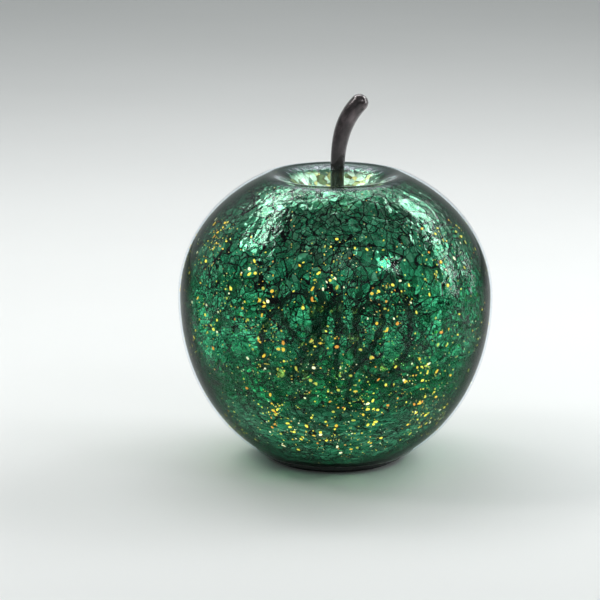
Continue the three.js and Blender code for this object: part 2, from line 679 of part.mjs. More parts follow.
// A conical spring wound about X, from its seat on a plate to its small end at the cell.
class SpringCurve extends THREE.Curve {
  constructor(side, y) {
    super();
    this.side = side;
    this.y = y;
  }

  getPoint(t) {
    const seat = PLATE_FACE_X - TOUCH_GAP;
    const start = seat - SPRING_LEG;
    const tip = CELL_LENGTH / 2 - CELL_SHIFT + TOUCH_GAP + SPRING_WIRE_RADIUS;
    const wound = Math.max((t - SPRING_LEG_SHARE) / (1 - SPRING_LEG_SHARE), 0);
    const leg = Math.max(1 - t / SPRING_LEG_SHARE, 0);
    const turn = 2 * Math.PI * SPRING_TURNS * wound;
    const radius = SPRING_BASE_RADIUS + (SPRING_TIP_RADIUS - SPRING_BASE_RADIUS) * wound;
    const x = start + (tip - start) * wound + (seat - start) * leg;
    return place(this.side * x, this.y + radius * Math.cos(turn), CELL_HEIGHT + radius * Math.sin(turn));
  }
}

function contactPlate(side, from, to) {
  const middle = side * (PLATE_FACE_X + PLATE_THICKNESS / 2);
  const half = PLATE_THICKNESS / 2;
  const rise = PLATE_SIZE / 2;
  return block(middle - half, middle + half, from, to, CELL_HEIGHT - rise, CELL_HEIGHT + rise);
}

// The plate at a cell's nub has a pressed button that meets it.
function buttonPlate(side, from, to, buttonY) {
  const foot = PLATE_FACE_X + PLATE_THICKNESS / 2;
  const face = CELL_LENGTH / 2 + CELL_SHIFT + TOUCH_GAP;
  const button = turned([
    point(0, face),
    point(BUTTON_RADIUS * BUTTON_FACE_SHARE, face),
    point(BUTTON_RADIUS, PLATE_FACE_X),
    point(BUTTON_RADIUS, foot),
    point(0, foot),
  ], BUTTON_SIDES);
  button.rotateY((side * Math.PI) / 2);
  return toGeometry(join(toSolid(contactPlate(side, from, to)), moved(button, 0, buttonY, CELL_HEIGHT)));
}

function buildSwitchBody() {
  const half = SWITCH_WIDTH / 2;
  return toGeometry(cut(
    toSolid(block(
      -SWITCH_LENGTH / 2, SWITCH_LENGTH / 2,
      BOARD_REACH - half, BOARD_REACH + half,
      SWITCH_BOTTOM, SWITCH_BOTTOM + SWITCH_HEIGHT,
    )),
    block(
      -SLOT_HALF, SLOT_HALF,
      BOARD_REACH - SLOT_SIDE, BOARD_REACH + SLOT_SIDE,
      SWITCH_BOTTOM - CUT_PAST, SWITCH_BOTTOM + SLIDER_DEPTH + TOUCH_GAP,
    ),
  ));
}

// The slider stands at the first of its three places, on.
function buildSlider() {
  const x = -SLIDER_TRAVEL / 2;
  return block(
    x - SLIDER_LENGTH / 2, x + SLIDER_LENGTH / 2,
    BOARD_REACH - SLIDER_WIDTH / 2, BOARD_REACH + SLIDER_WIDTH / 2,
    FLOOR_BOTTOM - SLIDER_PROUD, SWITCH_BOTTOM + SLIDER_DEPTH,
  );
}

// Where a lead leaves its contact plate
const leadX = PLATE_FACE_X - TOUCH_GAP - LEAD_RADIUS;
const leadY = PLATE_OUTER_Y + TOUCH_GAP;

// A lead runs from a contact plate along the top of the bay's wall and down to its pad on the board.
function leadTube(side, start, steps) {
  const over = BAY_WALL_TOP + TOUCH_GAP + LEAD_RADIUS + LEAD_LIFT;
  const wallY = BAY_HALF_WIDTH + BAY_WALL / 2;
  const padX = BOARD_LENGTH / 2 - PAD_INSET;
  const padY = BOARD_REACH - PAD_INSET;
  const points = [
    ...start(over),
    place(side * (leadX - 5 * LEAD_RADIUS), wallY, over),
    place(side * BOSS_X, wallY, over),
    place(side * (padX + 2 * LEAD_RADIUS), wallY, over),
    place(side * padX, (wallY + 2 * padY) / 3, over - 2 * LEAD_RADIUS),
    place(side * padX, padY, BOARD_TOP + 2.5 * LEAD_RADIUS),
    place(side * padX, padY, BOARD_TOP + TOUCH_GAP),
  ];
  return tube(new THREE.CatmullRomCurve3(points, false, 'centripetal'), LEAD_RADIUS, steps, LEAD_SIDES);
}

// The light string leaves the lid upwards and winds round a ring in upright loops, each a little different.
function loopPoint(turns) {
  const sweep = degrees(LOOP_START_ANGLE + (LOOP_SWEEP * turns) / LOOP_COUNT);
  const wind = 2 * Math.PI * turns - Math.PI / 2;
  const halfWidth = LOOP_HALF_WIDTH * (1 + LOOP_WIDTH_SPREAD * Math.sin(LOOP_WIDTH_BEAT * sweep));
  const heightBeat = Math.cos(LOOP_HEIGHT_BEAT * sweep + LOOP_HEIGHT_PHASE);
  const halfHeight = LOOP_HALF_HEIGHT * (1 + LOOP_HEIGHT_SPREAD * heightBeat);
  const lift = LOOP_HALF_HEIGHT * LOOP_LIFT_SPREAD * Math.sin(LOOP_LIFT_BEAT * sweep);
  const radius = LOOP_CENTRE_RADIUS + halfWidth * Math.cos(wind);
  const angle = sweep + LOOP_SLANT * Math.sin(wind);
  const height = LOOP_CENTRE_HEIGHT + lift + halfHeight * Math.sin(wind);
  return place(radius * Math.cos(angle), radius * Math.sin(angle), height);
}

function cablePoints() {
  const exit = place(CABLE_OUTLET_X, BOARD_REACH, BOARD_TOP + TOUCH_GAP);
  const points = [
    exit,
    place(exit.x, exit.y, CAP_BOTTOM),
    place(exit.x, exit.y, CAP_TOP + 3),
    place(exit.x + 0.6, exit.y + 0.8, CAP_TOP + 10),
  ];
  const samples = LOOP_COUNT * LOOP_STEPS;
  for (let i = 0; i <= samples; i += 1) {
    points.push(loopPoint((i / samples) * LOOP_COUNT));
  }
  return points;
}

const cableCurve = new THREE.CatmullRomCurve3(cablePoints(), false, 'centripetal');
const cableSteps = LOOP_COUNT * LOOP_STEPS + LEAD_IN_STEPS;
cableCurve.arcLengthDivisions = CURVE_DIVISIONS;

// Least distance between two turns of a wound tube, surface to surface, for stretches well apart along it.
function leastSelfGap(curve, radius, apart) {
  const samples = curve.getSpacedPoints(GAP_SAMPLES);
  const step = curve.getLength() / GAP_SAMPLES;
  const skip = Math.ceil(apart / step);
  let least = Infinity;
  for (let i = 0; i < samples.length; i += 1) {
    for (let j = i + skip; j < samples.length; j += 1) {
      least = Math.min(least, samples[i].distanceTo(samples[j]));
    }
  }
  return least - 2 * radius;
}

// A lamp is a drop of resin round the cable, set on the middle of one straight step of it.
function buildLamp() {
  const bore = CABLE_RADIUS + TOUCH_GAP;
  const half = LAMP_LENGTH / 2;
  const waist = bore + (LAMP_RADIUS - bore) * LAMP_WAIST_SHARE;
  const belt = half * LAMP_BELT_SHARE;
  return turned([
    point(bore, -half),
    point(waist, -half),
    point(LAMP_RADIUS, -belt),
    point(LAMP_RADIUS, belt),
    point(waist, half),
    point(bore, half),
    point(bore, -half),
  ], LAMP_SIDES);
}

function buildEndLamp() {
  return turned([
    point(0, 0),
    point(LAMP_END_RADIUS * LAMP_END_FOOT_SHARE, 0),
    point(LAMP_END_RADIUS, LAMP_END_BELT),
    point(LAMP_END_RADIUS * LAMP_END_CROWN_SHARE, LAMP_END_CROWN),
    point(0, LAMP_END_LENGTH),
  ], LAMP_SIDES);
}

function addLamps() {
  const stations = cableCurve.getSpacedPoints(cableSteps);
  const spacing = (cableSteps - LAMP_FIRST_STEP) / (LAMP_COUNT - 1);
  const up = place(0, 0, 1);
  for (let i = 0; i < LAMP_COUNT; i += 1) {
    const name = `led_${String(i + 1).padStart(2, '0')}`;
    const isLast = i === LAMP_COUNT - 1;
    const step = isLast ? cableSteps - 1 : Math.round(LAMP_FIRST_STEP + spacing * i);
    const from = stations[step];
    const to = stations[step + 1];
    const along = to.clone().sub(from).normalize();
    const mesh = add(name, isLast ? buildEndLamp() : buildLamp(), lampResin);
    mesh.quaternion.setFromUnitVectors(up, along);
    if (isLast) {
      mesh.position.copy(to).addScaledVector(along, TOUCH_GAP);
    } else {
      mesh.position.copy(from).add(to).multiplyScalar(0.5);
    }
  }
}

add('glass_shell', buildGlass(), crackleGlass);
add('stem', buildStem(), darkMetal);
add('stem_adhesive', buildAdhesive(), clearAdhesive);
add('base_seal', buildSeal(), sealRubber);
add('base_housing', buildHousing(), blackPlastic);
add('foot_ring', buildFootRing(), blackRubber);
add('housing_cap', buildCap(), blackPlastic);
add('cable_grommet', buildGrommet(), blackRubber);
bossPlaces.forEach((boss, i) => add(`cap_screw_${i + 1}`, buildScrew(boss), nickelSteel));
add('battery_door', buildDoor(), blackPlastic);
add('switch_body', buildSwitchBody(), nickelSteel);
add('switch_slider', buildSlider(), greyPlastic);
add('circuit_board', block(
  -BOARD_LENGTH / 2, BOARD_LENGTH / 2,
  BOARD_REACH - BOARD_WIDTH / 2, BOARD_REACH + BOARD_WIDTH / 2,
  BOARD_BOTTOM, BOARD_TOP,
), boardLacquer);
add('timer_chip', block(
  CHIP_OFFSET - CHIP_LENGTH / 2, CHIP_OFFSET + CHIP_LENGTH / 2,
  BOARD_REACH - CHIP_WIDTH / 2, BOARD_REACH + CHIP_WIDTH / 2,
  BOARD_TOP + TOUCH_GAP, BOARD_TOP + TOUCH_GAP + CHIP_HEIGHT,
), chipResin);

// Cells, each with its nub at the other end from its neighbours', and a spring at its flat end
for (let i = 0; i < CELL_COUNT; i += 1) {
  const plusSide = i % 2 === 0 ? 1 : -1;
  const y = i * CELL_PITCH - CELL_ROW_HALF;
  const spring = new SpringCurve(-plusSide, y);
  add(`battery_${i + 1}`, moved(buildCell(plusSide), plusSide * CELL_SHIFT, y, CELL_HEIGHT), cellJacket);
  add(`cell_spring_${i + 1}`, tube(spring, SPRING_WIRE_RADIUS, SPRING_STEPS, SPRING_SIDES), nickelSteel);
  const gap = leastSelfGap(spring, SPRING_WIRE_RADIUS, SPRING_BASE_RADIUS * 2);
  console.log(`cell_spring_${i + 1} least gap to itself ${gap.toFixed(2)} mm`);
}
const plateInnerY = CELL_ROW_HALF - PLATE_SIZE / 2;
const rightBridge = buttonPlate(1, -PLATE_OUTER_Y, PLATE_SIZE / 2, -CELL_ROW_HALF);
const leftBridge = buttonPlate(-1, -PLATE_SIZE / 2, PLATE_OUTER_Y, 0);
add('bridge_plate_right', rightBridge, nickelSteel);
add('bridge_plate_left', leftBridge, nickelSteel);
add('plus_plate', buttonPlate(1, plateInnerY, PLATE_OUTER_Y, CELL_ROW_HALF), nickelSteel);
add('minus_plate', contactPlate(-1, -PLATE_OUTER_Y, -plateInnerY), nickelSteel);

add('lead_red', leadTube(1, (over) => [
  place(leadX, leadY, CELL_HEIGHT),
  place(leadX, leadY, CELL_HEIGHT + 2.8),
  place(leadX - 0.9, leadY + 0.5, over),
], RED_LEAD_STEPS), redWire);
add('lead_black', leadTube(-1, (over) => [
  place(-leadX, -leadY, CELL_HEIGHT),
  place(-leadX, -leadY, CELL_HEIGHT + 2.6),
  place(-leadX + 0.2, -leadY + 2, over),
  place(-leadX + 0.4, -5, over),
  place(-leadX + 0.4, 6, over),
  place(-leadX + 1.2, leadY, over + 0.1),
], BLACK_LEAD_STEPS), blackWire);

add('led_cable', tube(cableCurve, CABLE_RADIUS, cableSteps, CABLE_SIDES), cableSheath);
const cableGap = leastSelfGap(cableCurve, CABLE_RADIUS, LOOP_HALF_HEIGHT);
const cableLength = cableCurve.getLength();
console.log(`light string least gap to itself ${cableGap.toFixed(2)} mm`);
console.log(`light string length ${cableLength.toFixed(0)} mm`);
addLamps();

export default apple;
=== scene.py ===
import math

import bmesh
import bpy
import numpy as np
from mathutils import Matrix, Vector, kdtree


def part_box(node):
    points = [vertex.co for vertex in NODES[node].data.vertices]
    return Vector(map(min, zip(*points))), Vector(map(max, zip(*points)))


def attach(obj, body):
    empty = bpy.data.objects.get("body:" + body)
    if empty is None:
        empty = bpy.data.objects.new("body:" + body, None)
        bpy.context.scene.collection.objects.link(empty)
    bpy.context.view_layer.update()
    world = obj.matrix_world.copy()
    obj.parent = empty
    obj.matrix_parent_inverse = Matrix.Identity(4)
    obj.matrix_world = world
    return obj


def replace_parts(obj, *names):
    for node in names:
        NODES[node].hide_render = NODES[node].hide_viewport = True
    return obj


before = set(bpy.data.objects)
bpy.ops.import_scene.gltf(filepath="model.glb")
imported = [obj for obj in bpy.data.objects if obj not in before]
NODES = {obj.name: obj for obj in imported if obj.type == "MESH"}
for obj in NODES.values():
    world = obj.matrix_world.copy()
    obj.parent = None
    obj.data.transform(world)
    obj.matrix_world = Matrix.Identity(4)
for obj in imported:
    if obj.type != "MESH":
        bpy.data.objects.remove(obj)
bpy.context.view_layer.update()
MM = 0.001
FULL_TURN = 2 * math.pi
rng = np.random.default_rng(4)


# Camera and studio: places and sizes in metres

CENTRE = (0, 0, 0.085)
CAMERA_PLACE = (0.0, -1.5, 0.439)
CAMERA_TILT_DOWN = 13.4
CAMERA_TURN = 0.685
CAMERA_LENS = 181.6
STRIP_WIDTH = 0.20
WIDE_STRIP = 0.22
NARROW_STRIP = 0.06
WARM_DAY = (1.0, 1.0, 0.98)
COOL_DAY = (0.98, 1.0, 1.0)
WHITE = (1.0, 1.0, 1.0)
ROOM_COLOUR = (0.94, 0.99, 0.98, 1)
WALL_COLOUR = (0.80, 0.81, 0.81, 1)
WALL_STRENGTH = 0.95


def set_camera():
    data = bpy.data.cameras.new("camera")
    data.sensor_width = 36.0
    data.lens = CAMERA_LENS
    data.clip_start = 0.01
    data.clip_end = 100.0
    obj = bpy.data.objects.new("camera", data)
    bpy.context.scene.collection.objects.link(obj)
    bpy.context.scene.camera = obj
    obj.location = CAMERA_PLACE
    obj.rotation_euler = (math.radians(90 - CAMERA_TILT_DOWN), 0.0, math.radians(CAMERA_TURN))
    view = bpy.context.scene.view_settings
    view.view_transform = "Standard"
    view.look = "None"


def area_light(name, place, width, length, radiance, colour):
    """A soft rectangle of light that faces the apple."""
    data = bpy.data.lights.new(name, "AREA")
    data.shape = "RECTANGLE"
    data.size = width
    data.size_y = length
    data.energy = radiance * math.pi * width * length
    data.color = colour
    obj = bpy.data.objects.new(name, data)
    bpy.context.scene.collection.objects.link(obj)
    obj.location = place
    obj.visible_camera = False
    direction = Vector(CENTRE) - obj.location
    obj.rotation_euler = direction.to_track_quat("-Z", "Y").to_euler()
    return obj


def strip_light(name, foot, head, width, radiance, colour):
    """A long narrow light between two points that faces the apple."""
    foot = Vector(foot)
    head = Vector(head)
    middle = (foot + head) / 2
    along = (head - foot).normalized()
    away = middle - Vector(CENTRE)
    away = (away - along * away.dot(along)).normalized()
    obj = area_light(name, middle, width, (head - foot).length, radiance, colour)
    obj.rotation_euler = Matrix((along.cross(away), along, away)).transposed().to_euler()


def set_lights():
    """Tall narrow windows on both sides, which the glass mirrors, and soft light from above."""
    strip_light("window_left_low", (-0.76, -0.07, 0.71), (-0.57, 0.10, 0.93), STRIP_WIDTH, 9.5, WARM_DAY)
    strip_light("window_left_high", (-0.59, 0.19, 0.88), (-0.33, 0.56, 0.83), STRIP_WIDTH, 6.5, WARM_DAY)
    strip_light("window_front", (0.60, -0.53, 0.66), (0.56, -0.48, 0.82), WIDE_STRIP, 7.0, COOL_DAY)
    strip_light("window_right_low", (0.99, 0.02, 0.12), (0.86, 0.15, 0.58), WIDE_STRIP, 6.5, COOL_DAY)
    strip_light("window_right_high", (0.84, 0.17, 0.62), (0.45, 0.55, 0.80), WIDE_STRIP, 6.5, COOL_DAY)
    strip_light("door_right", (0.88, 0.46, 0.08), (0.85, 0.50, 0.40), NARROW_STRIP, 5.5, COOL_DAY)
    strip_light("skylight", (-0.36, 0.42, 0.98), (0.14, 0.45, 0.98), NARROW_STRIP, 6.0, WHITE)
    area_light("window_back", (0.62, 0.66, 0.86), 0.40, 0.55, 1.8, WARM_DAY)
    area_light("window_far_left", (-0.46, 0.60, 0.98), 0.36, 0.30, 1.6, WARM_DAY)
    area_light("overhead", (0.0, 0.85, 1.45), 1.0, 0.8, 2.1, WHITE)
    area_light("front_fill", (0.5, -2.4, 2.2), 2.2, 1.2, 0.42, WHITE)


def set_world():
    """A plain pale room: an even wall behind, and light that grows from the front to the back."""
    world = bpy.data.worlds.new("studio")
    bpy.context.scene.world = world
    world.use_nodes = True
    tree = world.node_tree
    tree.nodes.clear()
    out = tree.nodes.new("ShaderNodeOutputWorld")
    direction = tree.nodes.new("ShaderNodeTexCoord")
    axes = tree.nodes.new("ShaderNodeSeparateXYZ")
    backdrop = tree.nodes.new("ShaderNodeMapRange")
    backdrop.interpolation_type = "SMOOTHSTEP"
    for key, value in zip(("From Min", "From Max", "To Min", "To Max"), (0.10, 0.95, 0.26, 0.80)):
        backdrop.inputs[key].default_value = value
    room = tree.nodes.new("ShaderNodeBackground")
    room.inputs["Color"].default_value = ROOM_COLOUR
    wall = tree.nodes.new("ShaderNodeBackground")
    wall.inputs["Color"].default_value = WALL_COLOUR
    wall.inputs["Strength"].default_value = WALL_STRENGTH
    pick = tree.nodes.new("ShaderNodeMixShader")
    path = tree.nodes.new("ShaderNodeLightPath")
    tree.links.new(direction.outputs["Generated"], axes.inputs[0])
    tree.links.new(axes.outputs["Y"], backdrop.inputs["Value"])
    tree.links.new(backdrop.outputs[0], room.inputs["Strength"])
    tree.links.new(path.outputs["Is Camera Ray"], pick.inputs["Fac"])
    tree.links.new(room.outputs[0], pick.inputs[1])
    tree.links.new(wall.outputs[0], pick.inputs[2])
    tree.links.new(pick.outputs[0], out.inputs["Surface"])


set_camera()
set_lights()
set_world()


# Node helpers

class Nodes:
    """A short way to write a material's node tree."""

    def __init__(self, name):
        self.material = bpy.data.materials.new(name)
        self.material.use_nodes = True
        self.tree = self.material.node_tree
        self.tree.nodes.clear()
        self.out = self.tree.nodes.new("ShaderNodeOutputMaterial")

    def add(self, kind, values=None, **fields):
        node = self.tree.nodes.new(kind)
        for key, value in fields.items():
            setattr(node, key, value)
        for key, value in (values or {}).items():
            self.put(node.inputs[key], value)
        return node

    def put(self, socket, value):
        if isinstance(value, bpy.types.NodeSocket):
            self.tree.links.new(value, socket)
        elif isinstance(value, (tuple, list)) and socket.type == "RGBA" and len(value) == 3:
            socket.default_value = (*value, 1)
        else:
            socket.default_value = value

    def math(self, operation, a, b=0.0, clamp=False):
        node = self.add("ShaderNodeMath", operation=operation, use_clamp=clamp)
        self.put(node.inputs[0], a)
        self.put(node.inputs[1], b)
        return node.outputs[0]

    def plus(self, a, b):
        return self.math("ADD", a, b)

    def less(self, a, b):
        return self.math("SUBTRACT", a, b)

    def times(self, a, b):
        return self.math("MULTIPLY", a, b)

    def most(self, a, b):
        return self.math("MAXIMUM", a, b)

    def vector(self, operation, a, b=(0, 0, 0)):
        node = self.add("ShaderNodeVectorMath", operation=operation)
        self.put(node.inputs[0], a)
        self.put(node.inputs[1], b)
        return node.outputs["Vector"]

    def scaled(self, vector, scale):
        node = self.add("ShaderNodeVectorMath", {"Scale": scale}, operation="SCALE")
        self.put(node.inputs[0], vector)
        return node.outputs["Vector"]

    def centred(self, colour):
        """A random colour as a vector that leans equally often each way."""
        return self.vector("SUBTRACT", colour, (0.5, 0.5, 0.5))

    def axes(self, vector):
        return self.add("ShaderNodeSeparateXYZ", {"Vector": vector}).outputs

    def channels(self, colour):
        return self.add("ShaderNodeSeparateColor", {"Color": colour}).outputs

    def joined(self, x, y, z):
        return self.add("ShaderNodeCombineXYZ", {0: x, 1: y, 2: z}).outputs[0]

    def step(self, value, low, high, to_low=0.0, to_high=1.0):
        node = self.add("ShaderNodeMapRange", interpolation_type="SMOOTHSTEP")
        keys = ("Value", "From Min", "From Max", "To Min", "To Max")
        for key, v in zip(keys, (value, low, high, to_low, to_high)):
            self.put(node.inputs[key], v)
        return node.outputs[0]

    def mix(self, share, a, b):
        return self.add("ShaderNodeMix", {0: share, 6: a, 7: b}, data_type="RGBA").outputs[2]

    def millimetres(self):
        return self.scaled(self.add("ShaderNodeTexCoord").outputs["Object"], 1000.0)

    def noise(self, vector, scale, detail=2.0, rough=0.5):
        values = {"Vector": vector, "Scale": scale, "Detail": detail, "Roughness": rough}
        return self.add("ShaderNodeTexNoise", values)

    def voronoi(self, vector, cell, feature="F1"):
        return self.add("ShaderNodeTexVoronoi", {"Vector": vector, "Scale": 1 / cell}, feature=feature)

    def bump(self, height, distance, strength=1.0):
        values = {"Height": height, "Distance": distance, "Strength": strength}
        return self.add("ShaderNodeBump", values).outputs[0]

    def principled(self, **values):
        node = self.add("ShaderNodeBsdfPrincipled")
        for key, value in values.items():
            self.put(node.inputs[key.replace("_", " ")], value)
        self.tree.links.new(node.outputs[0], self.out.inputs["Surface"])
        return node

    def blend(self, share, a, b):
        """Shows a mix of two shaders."""
        node = self.add("ShaderNodeMixShader", {0: share, 1: a.outputs[0], 2: b.outputs[0]})
        self.tree.links.new(node.outputs[0], self.out.inputs["Surface"])


def moulded(name, colour, roughness, grain=0.25, depth=0.00002, metallic=0.0, spread=0.25, coat=0.0,
            stretch=(1, 1, 1)):
    """A moulded, painted or drawn surface: fine grain, slow colour change and worn gloss."""
    n = Nodes(name)
    mm = n.vector("MULTIPLY", n.millimetres(), stretch)
    fine = n.noise(mm, 1.0 / grain, 3.0, 0.6).outputs[0]
    slow = n.noise(mm, 0.12, 3.0, 0.55).outputs[0]
    dark = tuple(c * (1 - spread) for c in colour)
    light = tuple(min(c * (1 + spread) + 0.002, 1) for c in colour)
    rough = n.plus(roughness - 0.06, n.times(slow, 0.14))
    rough = n.plus(rough, n.times(fine, 0.05))
    n.principled(Base_Color=n.mix(n.step(slow, 0.3, 0.7), dark, light), Roughness=rough, Metallic=metallic,
                 Coat_Weight=coat, Normal=n.bump(fine, depth))
    return n.material


# Mesh helpers

def new_object(name, mesh, materials, smooth=True):
    """Shows a mesh as a piece that rides on the apple."""
    obj = bpy.data.objects.new(name, mesh)
    bpy.context.scene.collection.objects.link(obj)
    for material in materials:
        mesh.materials.append(material)
    if smooth:
        mesh.polygons.foreach_set("use_smooth", [True] * len(mesh.polygons))
    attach(obj, "apple")
    return obj


def mesh_of(name, vertices, faces):
    mesh = bpy.data.meshes.new(name)
    mesh.from_pydata(vertices, [], faces)
    mesh.update()
    return mesh


def face_outwards(mesh):
    work = bmesh.new()
    work.from_mesh(mesh)
    bmesh.ops.recalc_face_normals(work, faces=work.faces)
    work.to_mesh(mesh)
    work.free()


def index_grid(start, rows, columns):
    return start + np.arange(rows * columns).reshape(rows, columns)


def bands(index, inward=False):
    """The quads between the rows of an index grid whose columns wrap round."""
    lower, upper = index[:-1], index[1:]
    corners = [lower, np.roll(lower, -1, axis=1), np.roll(upper, -1, axis=1), upper]
    if inward:
        corners = [corners[0], corners[3], corners[2], corners[1]]
    return np.stack(corners, axis=-1).reshape(-1, 4).tolist()


def fan(ring, middle, inward=False):
    """The triangles between a ring of points and the point in its middle."""
    pairs = zip(ring.tolist(), np.roll(ring, -1).tolist())
    return [[b, a, middle] if inward else [a, b, middle] for a, b in pairs]


def stitches(ring, finer):
    """The triangles between two rings with different numbers of points."""
    faces = []
    i = j = 0
    while i < len(ring) or j < len(finer):
        a = int(ring[i % len(ring)])
        b = int(finer[j % len(finer)])
        if j >= len(finer) or (i < len(ring) and (i + 1) / len(ring) <= (j + 1) / len(finer)):
            i += 1
            faces.append([a, b, int(ring[i % len(ring)])])
        else:
            j += 1
            faces.append([a, b, int(finer[j % len(finer)])])
    return faces


def capped_mesh(name, points):
    """A closed mesh of rows of points: points is (rows, columns, 3), and columns wrap round."""
    rows, columns, _ = points.shape
    index = index_grid(0, rows, columns)
    ends = rows * columns
    vertices = np.vstack([points.reshape(-1, 3), points[0].mean(0), points[-1].mean(0)])
    faces = bands(index) + fan(index[0], ends, inward=True) + fan(index[-1], ends + 1)
    return mesh_of(name, vertices.tolist(), faces)


def round_angles(count):
    return np.linspace(0, FULL_TURN, count, endpoint=False)


def lathe(profile, columns):
    """Turns a profile of (radius, height) in millimetres about Z; the rows of points are in metres."""
    profile = np.asarray(profile, float)
    angles = round_angles(columns)
    ring = np.stack([np.cos(angles), np.sin(angles)], axis=-1)
    points = np.empty((len(profile), columns, 3))
    points[:, :, :2] = profile[:, None, :1] * ring
    points[:, :, 2] = profile[:, 1:2]
    return points * MM


def tangents(line):
    along = np.gradient(line, axis=0)
    return along / np.linalg.norm(along, axis=1)[:, None]


def lengths_along(line):
    """How far along the line each of its points is."""
    steps = np.linalg.norm(np.diff(line, axis=0), axis=1)
    return np.concatenate([[0], np.cumsum(steps)])


def path_axes(path, side):
    """Two directions across each point of a path, which turn no more than the path does."""
    across = []
    for along in tangents(path):
        side = side - along * np.dot(side, along)
        side = side / np.linalg.norm(side)
        across.append(side)
    return np.array(across), np.cross(tangents(path), across)


def circle(hub, radius, across, up, sides):
    angles = round_angles(sides)[:, None]
    return hub + radius * (np.cos(angles) * across + np.sin(angles) * up)


def swept(path, radii, sides, dome):
    """A round rod along path (millimetres) that ends flat at its start and in a dome at its end."""
    along = tangents(path)
    across, up = path_axes(path, np.cross(along[0], (0.0, 1.0, 0.3)))
    rings = [circle(*place, sides) for place in zip(path, radii, across, up)]
    for i in range(1, dome + 1):
        angle = i / (dome + 1) * math.pi / 2
        hub = path[-1] + along[-1] * radii[-1] * math.sin(angle)
        rings.append(circle(hub, radii[-1] * math.cos(angle), across[-1], up[-1], sides))
    return np.array(rings) * MM


# The glass wall: sizes in millimetres

BODY_RADIUS = 80.0
WAIST = 84.0
SHOULDER_RISE = 70.2
BELLY_POWER = 2.05
RIM_RADIUS = 33.0
LIP_WIDTH = 5.0
LIP_ROUNDING = 0.55
DIMPLE_DEPTH = 19.0
SEAT_TOLERANCE = 1e-5
glass_low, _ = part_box("glass_shell")
SEAT = glass_low.z / MM
seat_level = glass_low.z + SEAT_TOLERANCE
seat_points = [v.co for v in NODES["glass_shell"].data.vertices if v.co.z < seat_level]
seat_radii = [math.hypot(p.x, p.y) / MM for p in seat_points]
SEAT_RADIUS = max(seat_radii)
BORE = min(seat_radii)
SEAT_ANGLE = math.acos((SEAT_RADIUS / BODY_RADIUS) ** (BELLY_POWER / 2))
BELLY_DROP = (WAIST - SEAT) / math.sin(SEAT_ANGLE) ** (2 / BELLY_POWER)
LIP_ANGLE = math.acos((RIM_RADIUS + LIP_WIDTH) / BODY_RADIUS)
LIP_SLOPE = SHOULDER_RISE * math.cos(LIP_ANGLE) / (BODY_RADIUS * math.sin(LIP_ANGLE))
LIP_START = WAIST + SHOULDER_RISE * math.sin(LIP_ANGLE)
RIM = LIP_START + LIP_WIDTH * LIP_ROUNDING * LIP_SLOPE

CRACKLE_INSET = 1.3
CRACKLE_START = SEAT + 2.0
SKIN_SPACING = 1.2
CRACKLE_SPACING = 0.85
SKIN_COLUMNS = 256
CRACKLE_COLUMNS = 560
AXIS_GAP = 0.4
INNER_AXIS_GAP = 0.3
SEAT_EDGE = 0.4
SEAT_ROUNDING = 0.6
BORE_CHAMFER = 0.3

# The facets: each cell is a slightly tilted plane with a groove round it (metres)
FACETS = 3400
FACET_SQUASH = np.array([1.0, 1.0, 0.9])
FACET_TILT = 0.022
FACET_LIFT = 0.00007
HIGHEST_FACET = 0.00030
DEEPEST_FACET = -0.00040
GROOVE_WIDTH = 0.0009
GROOVE_DEPTH = 0.00014


def dimple(radius):
    return RIM - DIMPLE_DEPTH / 2 * (1 + np.cos(np.pi * np.minimum(radius, RIM_RADIUS) / RIM_RADIUS))


def apple_outline():
    """Half of the apple's section, from the seat over waist and lip to the dimple's middle."""
    angle = np.linspace(SEAT_ANGLE, 0, 90)[:-1]
    lower = np.stack([BODY_RADIUS * np.cos(angle) ** (2 / BELLY_POWER),
                      WAIST - BELLY_DROP * np.sin(angle) ** (2 / BELLY_POWER)], -1)
    angle = np.linspace(0, LIP_ANGLE, 80)
    upper = np.stack([BODY_RADIUS * np.cos(angle), WAIST + SHOULDER_RISE * np.sin(angle)], -1)
    t = np.linspace(0, 1, 10)[1:, None]
    start = np.array([RIM_RADIUS + LIP_WIDTH, LIP_START])
    corner = np.array([RIM_RADIUS + LIP_WIDTH * (1 - LIP_ROUNDING), RIM])
    end = np.array([RIM_RADIUS, RIM])
    lip = (1 - t) ** 2 * start + 2 * t * (1 - t) * corner + t ** 2 * end
    radius = np.linspace(RIM_RADIUS, AXIS_GAP, 60)[1:]
    bowl = np.stack([radius, dimple(radius)], -1)
    return np.vstack([lower, upper, lip, bowl])


def resampled(line, spacing):
    along = lengths_along(line)
    at = np.linspace(0, along[-1], max(int(along[-1] / spacing), 2))
    return np.stack([np.interp(at, along, line[:, 0]), np.interp(at, along, line[:, 1])], -1)


def inset(line, depth):
    along = tangents(line)
    moved = line + depth * np.stack([-along[:, 1], along[:, 0]], -1)
    moved[:, 0] = np.maximum(moved[:, 0], INNER_AXIS_GAP)
    return moved


def outward_directions(line, columns):
    """The outward direction at each point of a turned line."""
    along = tangents(line)
    angles = round_angles(columns)
    outward = np.empty((len(line), columns, 3))
    outward[:, :, 0] = along[:, None, 1] * np.cos(angles)
    outward[:, :, 1] = along[:, None, 1] * np.sin(angles)
    outward[:, :, 2] = -along[:, None, 0]
    return outward


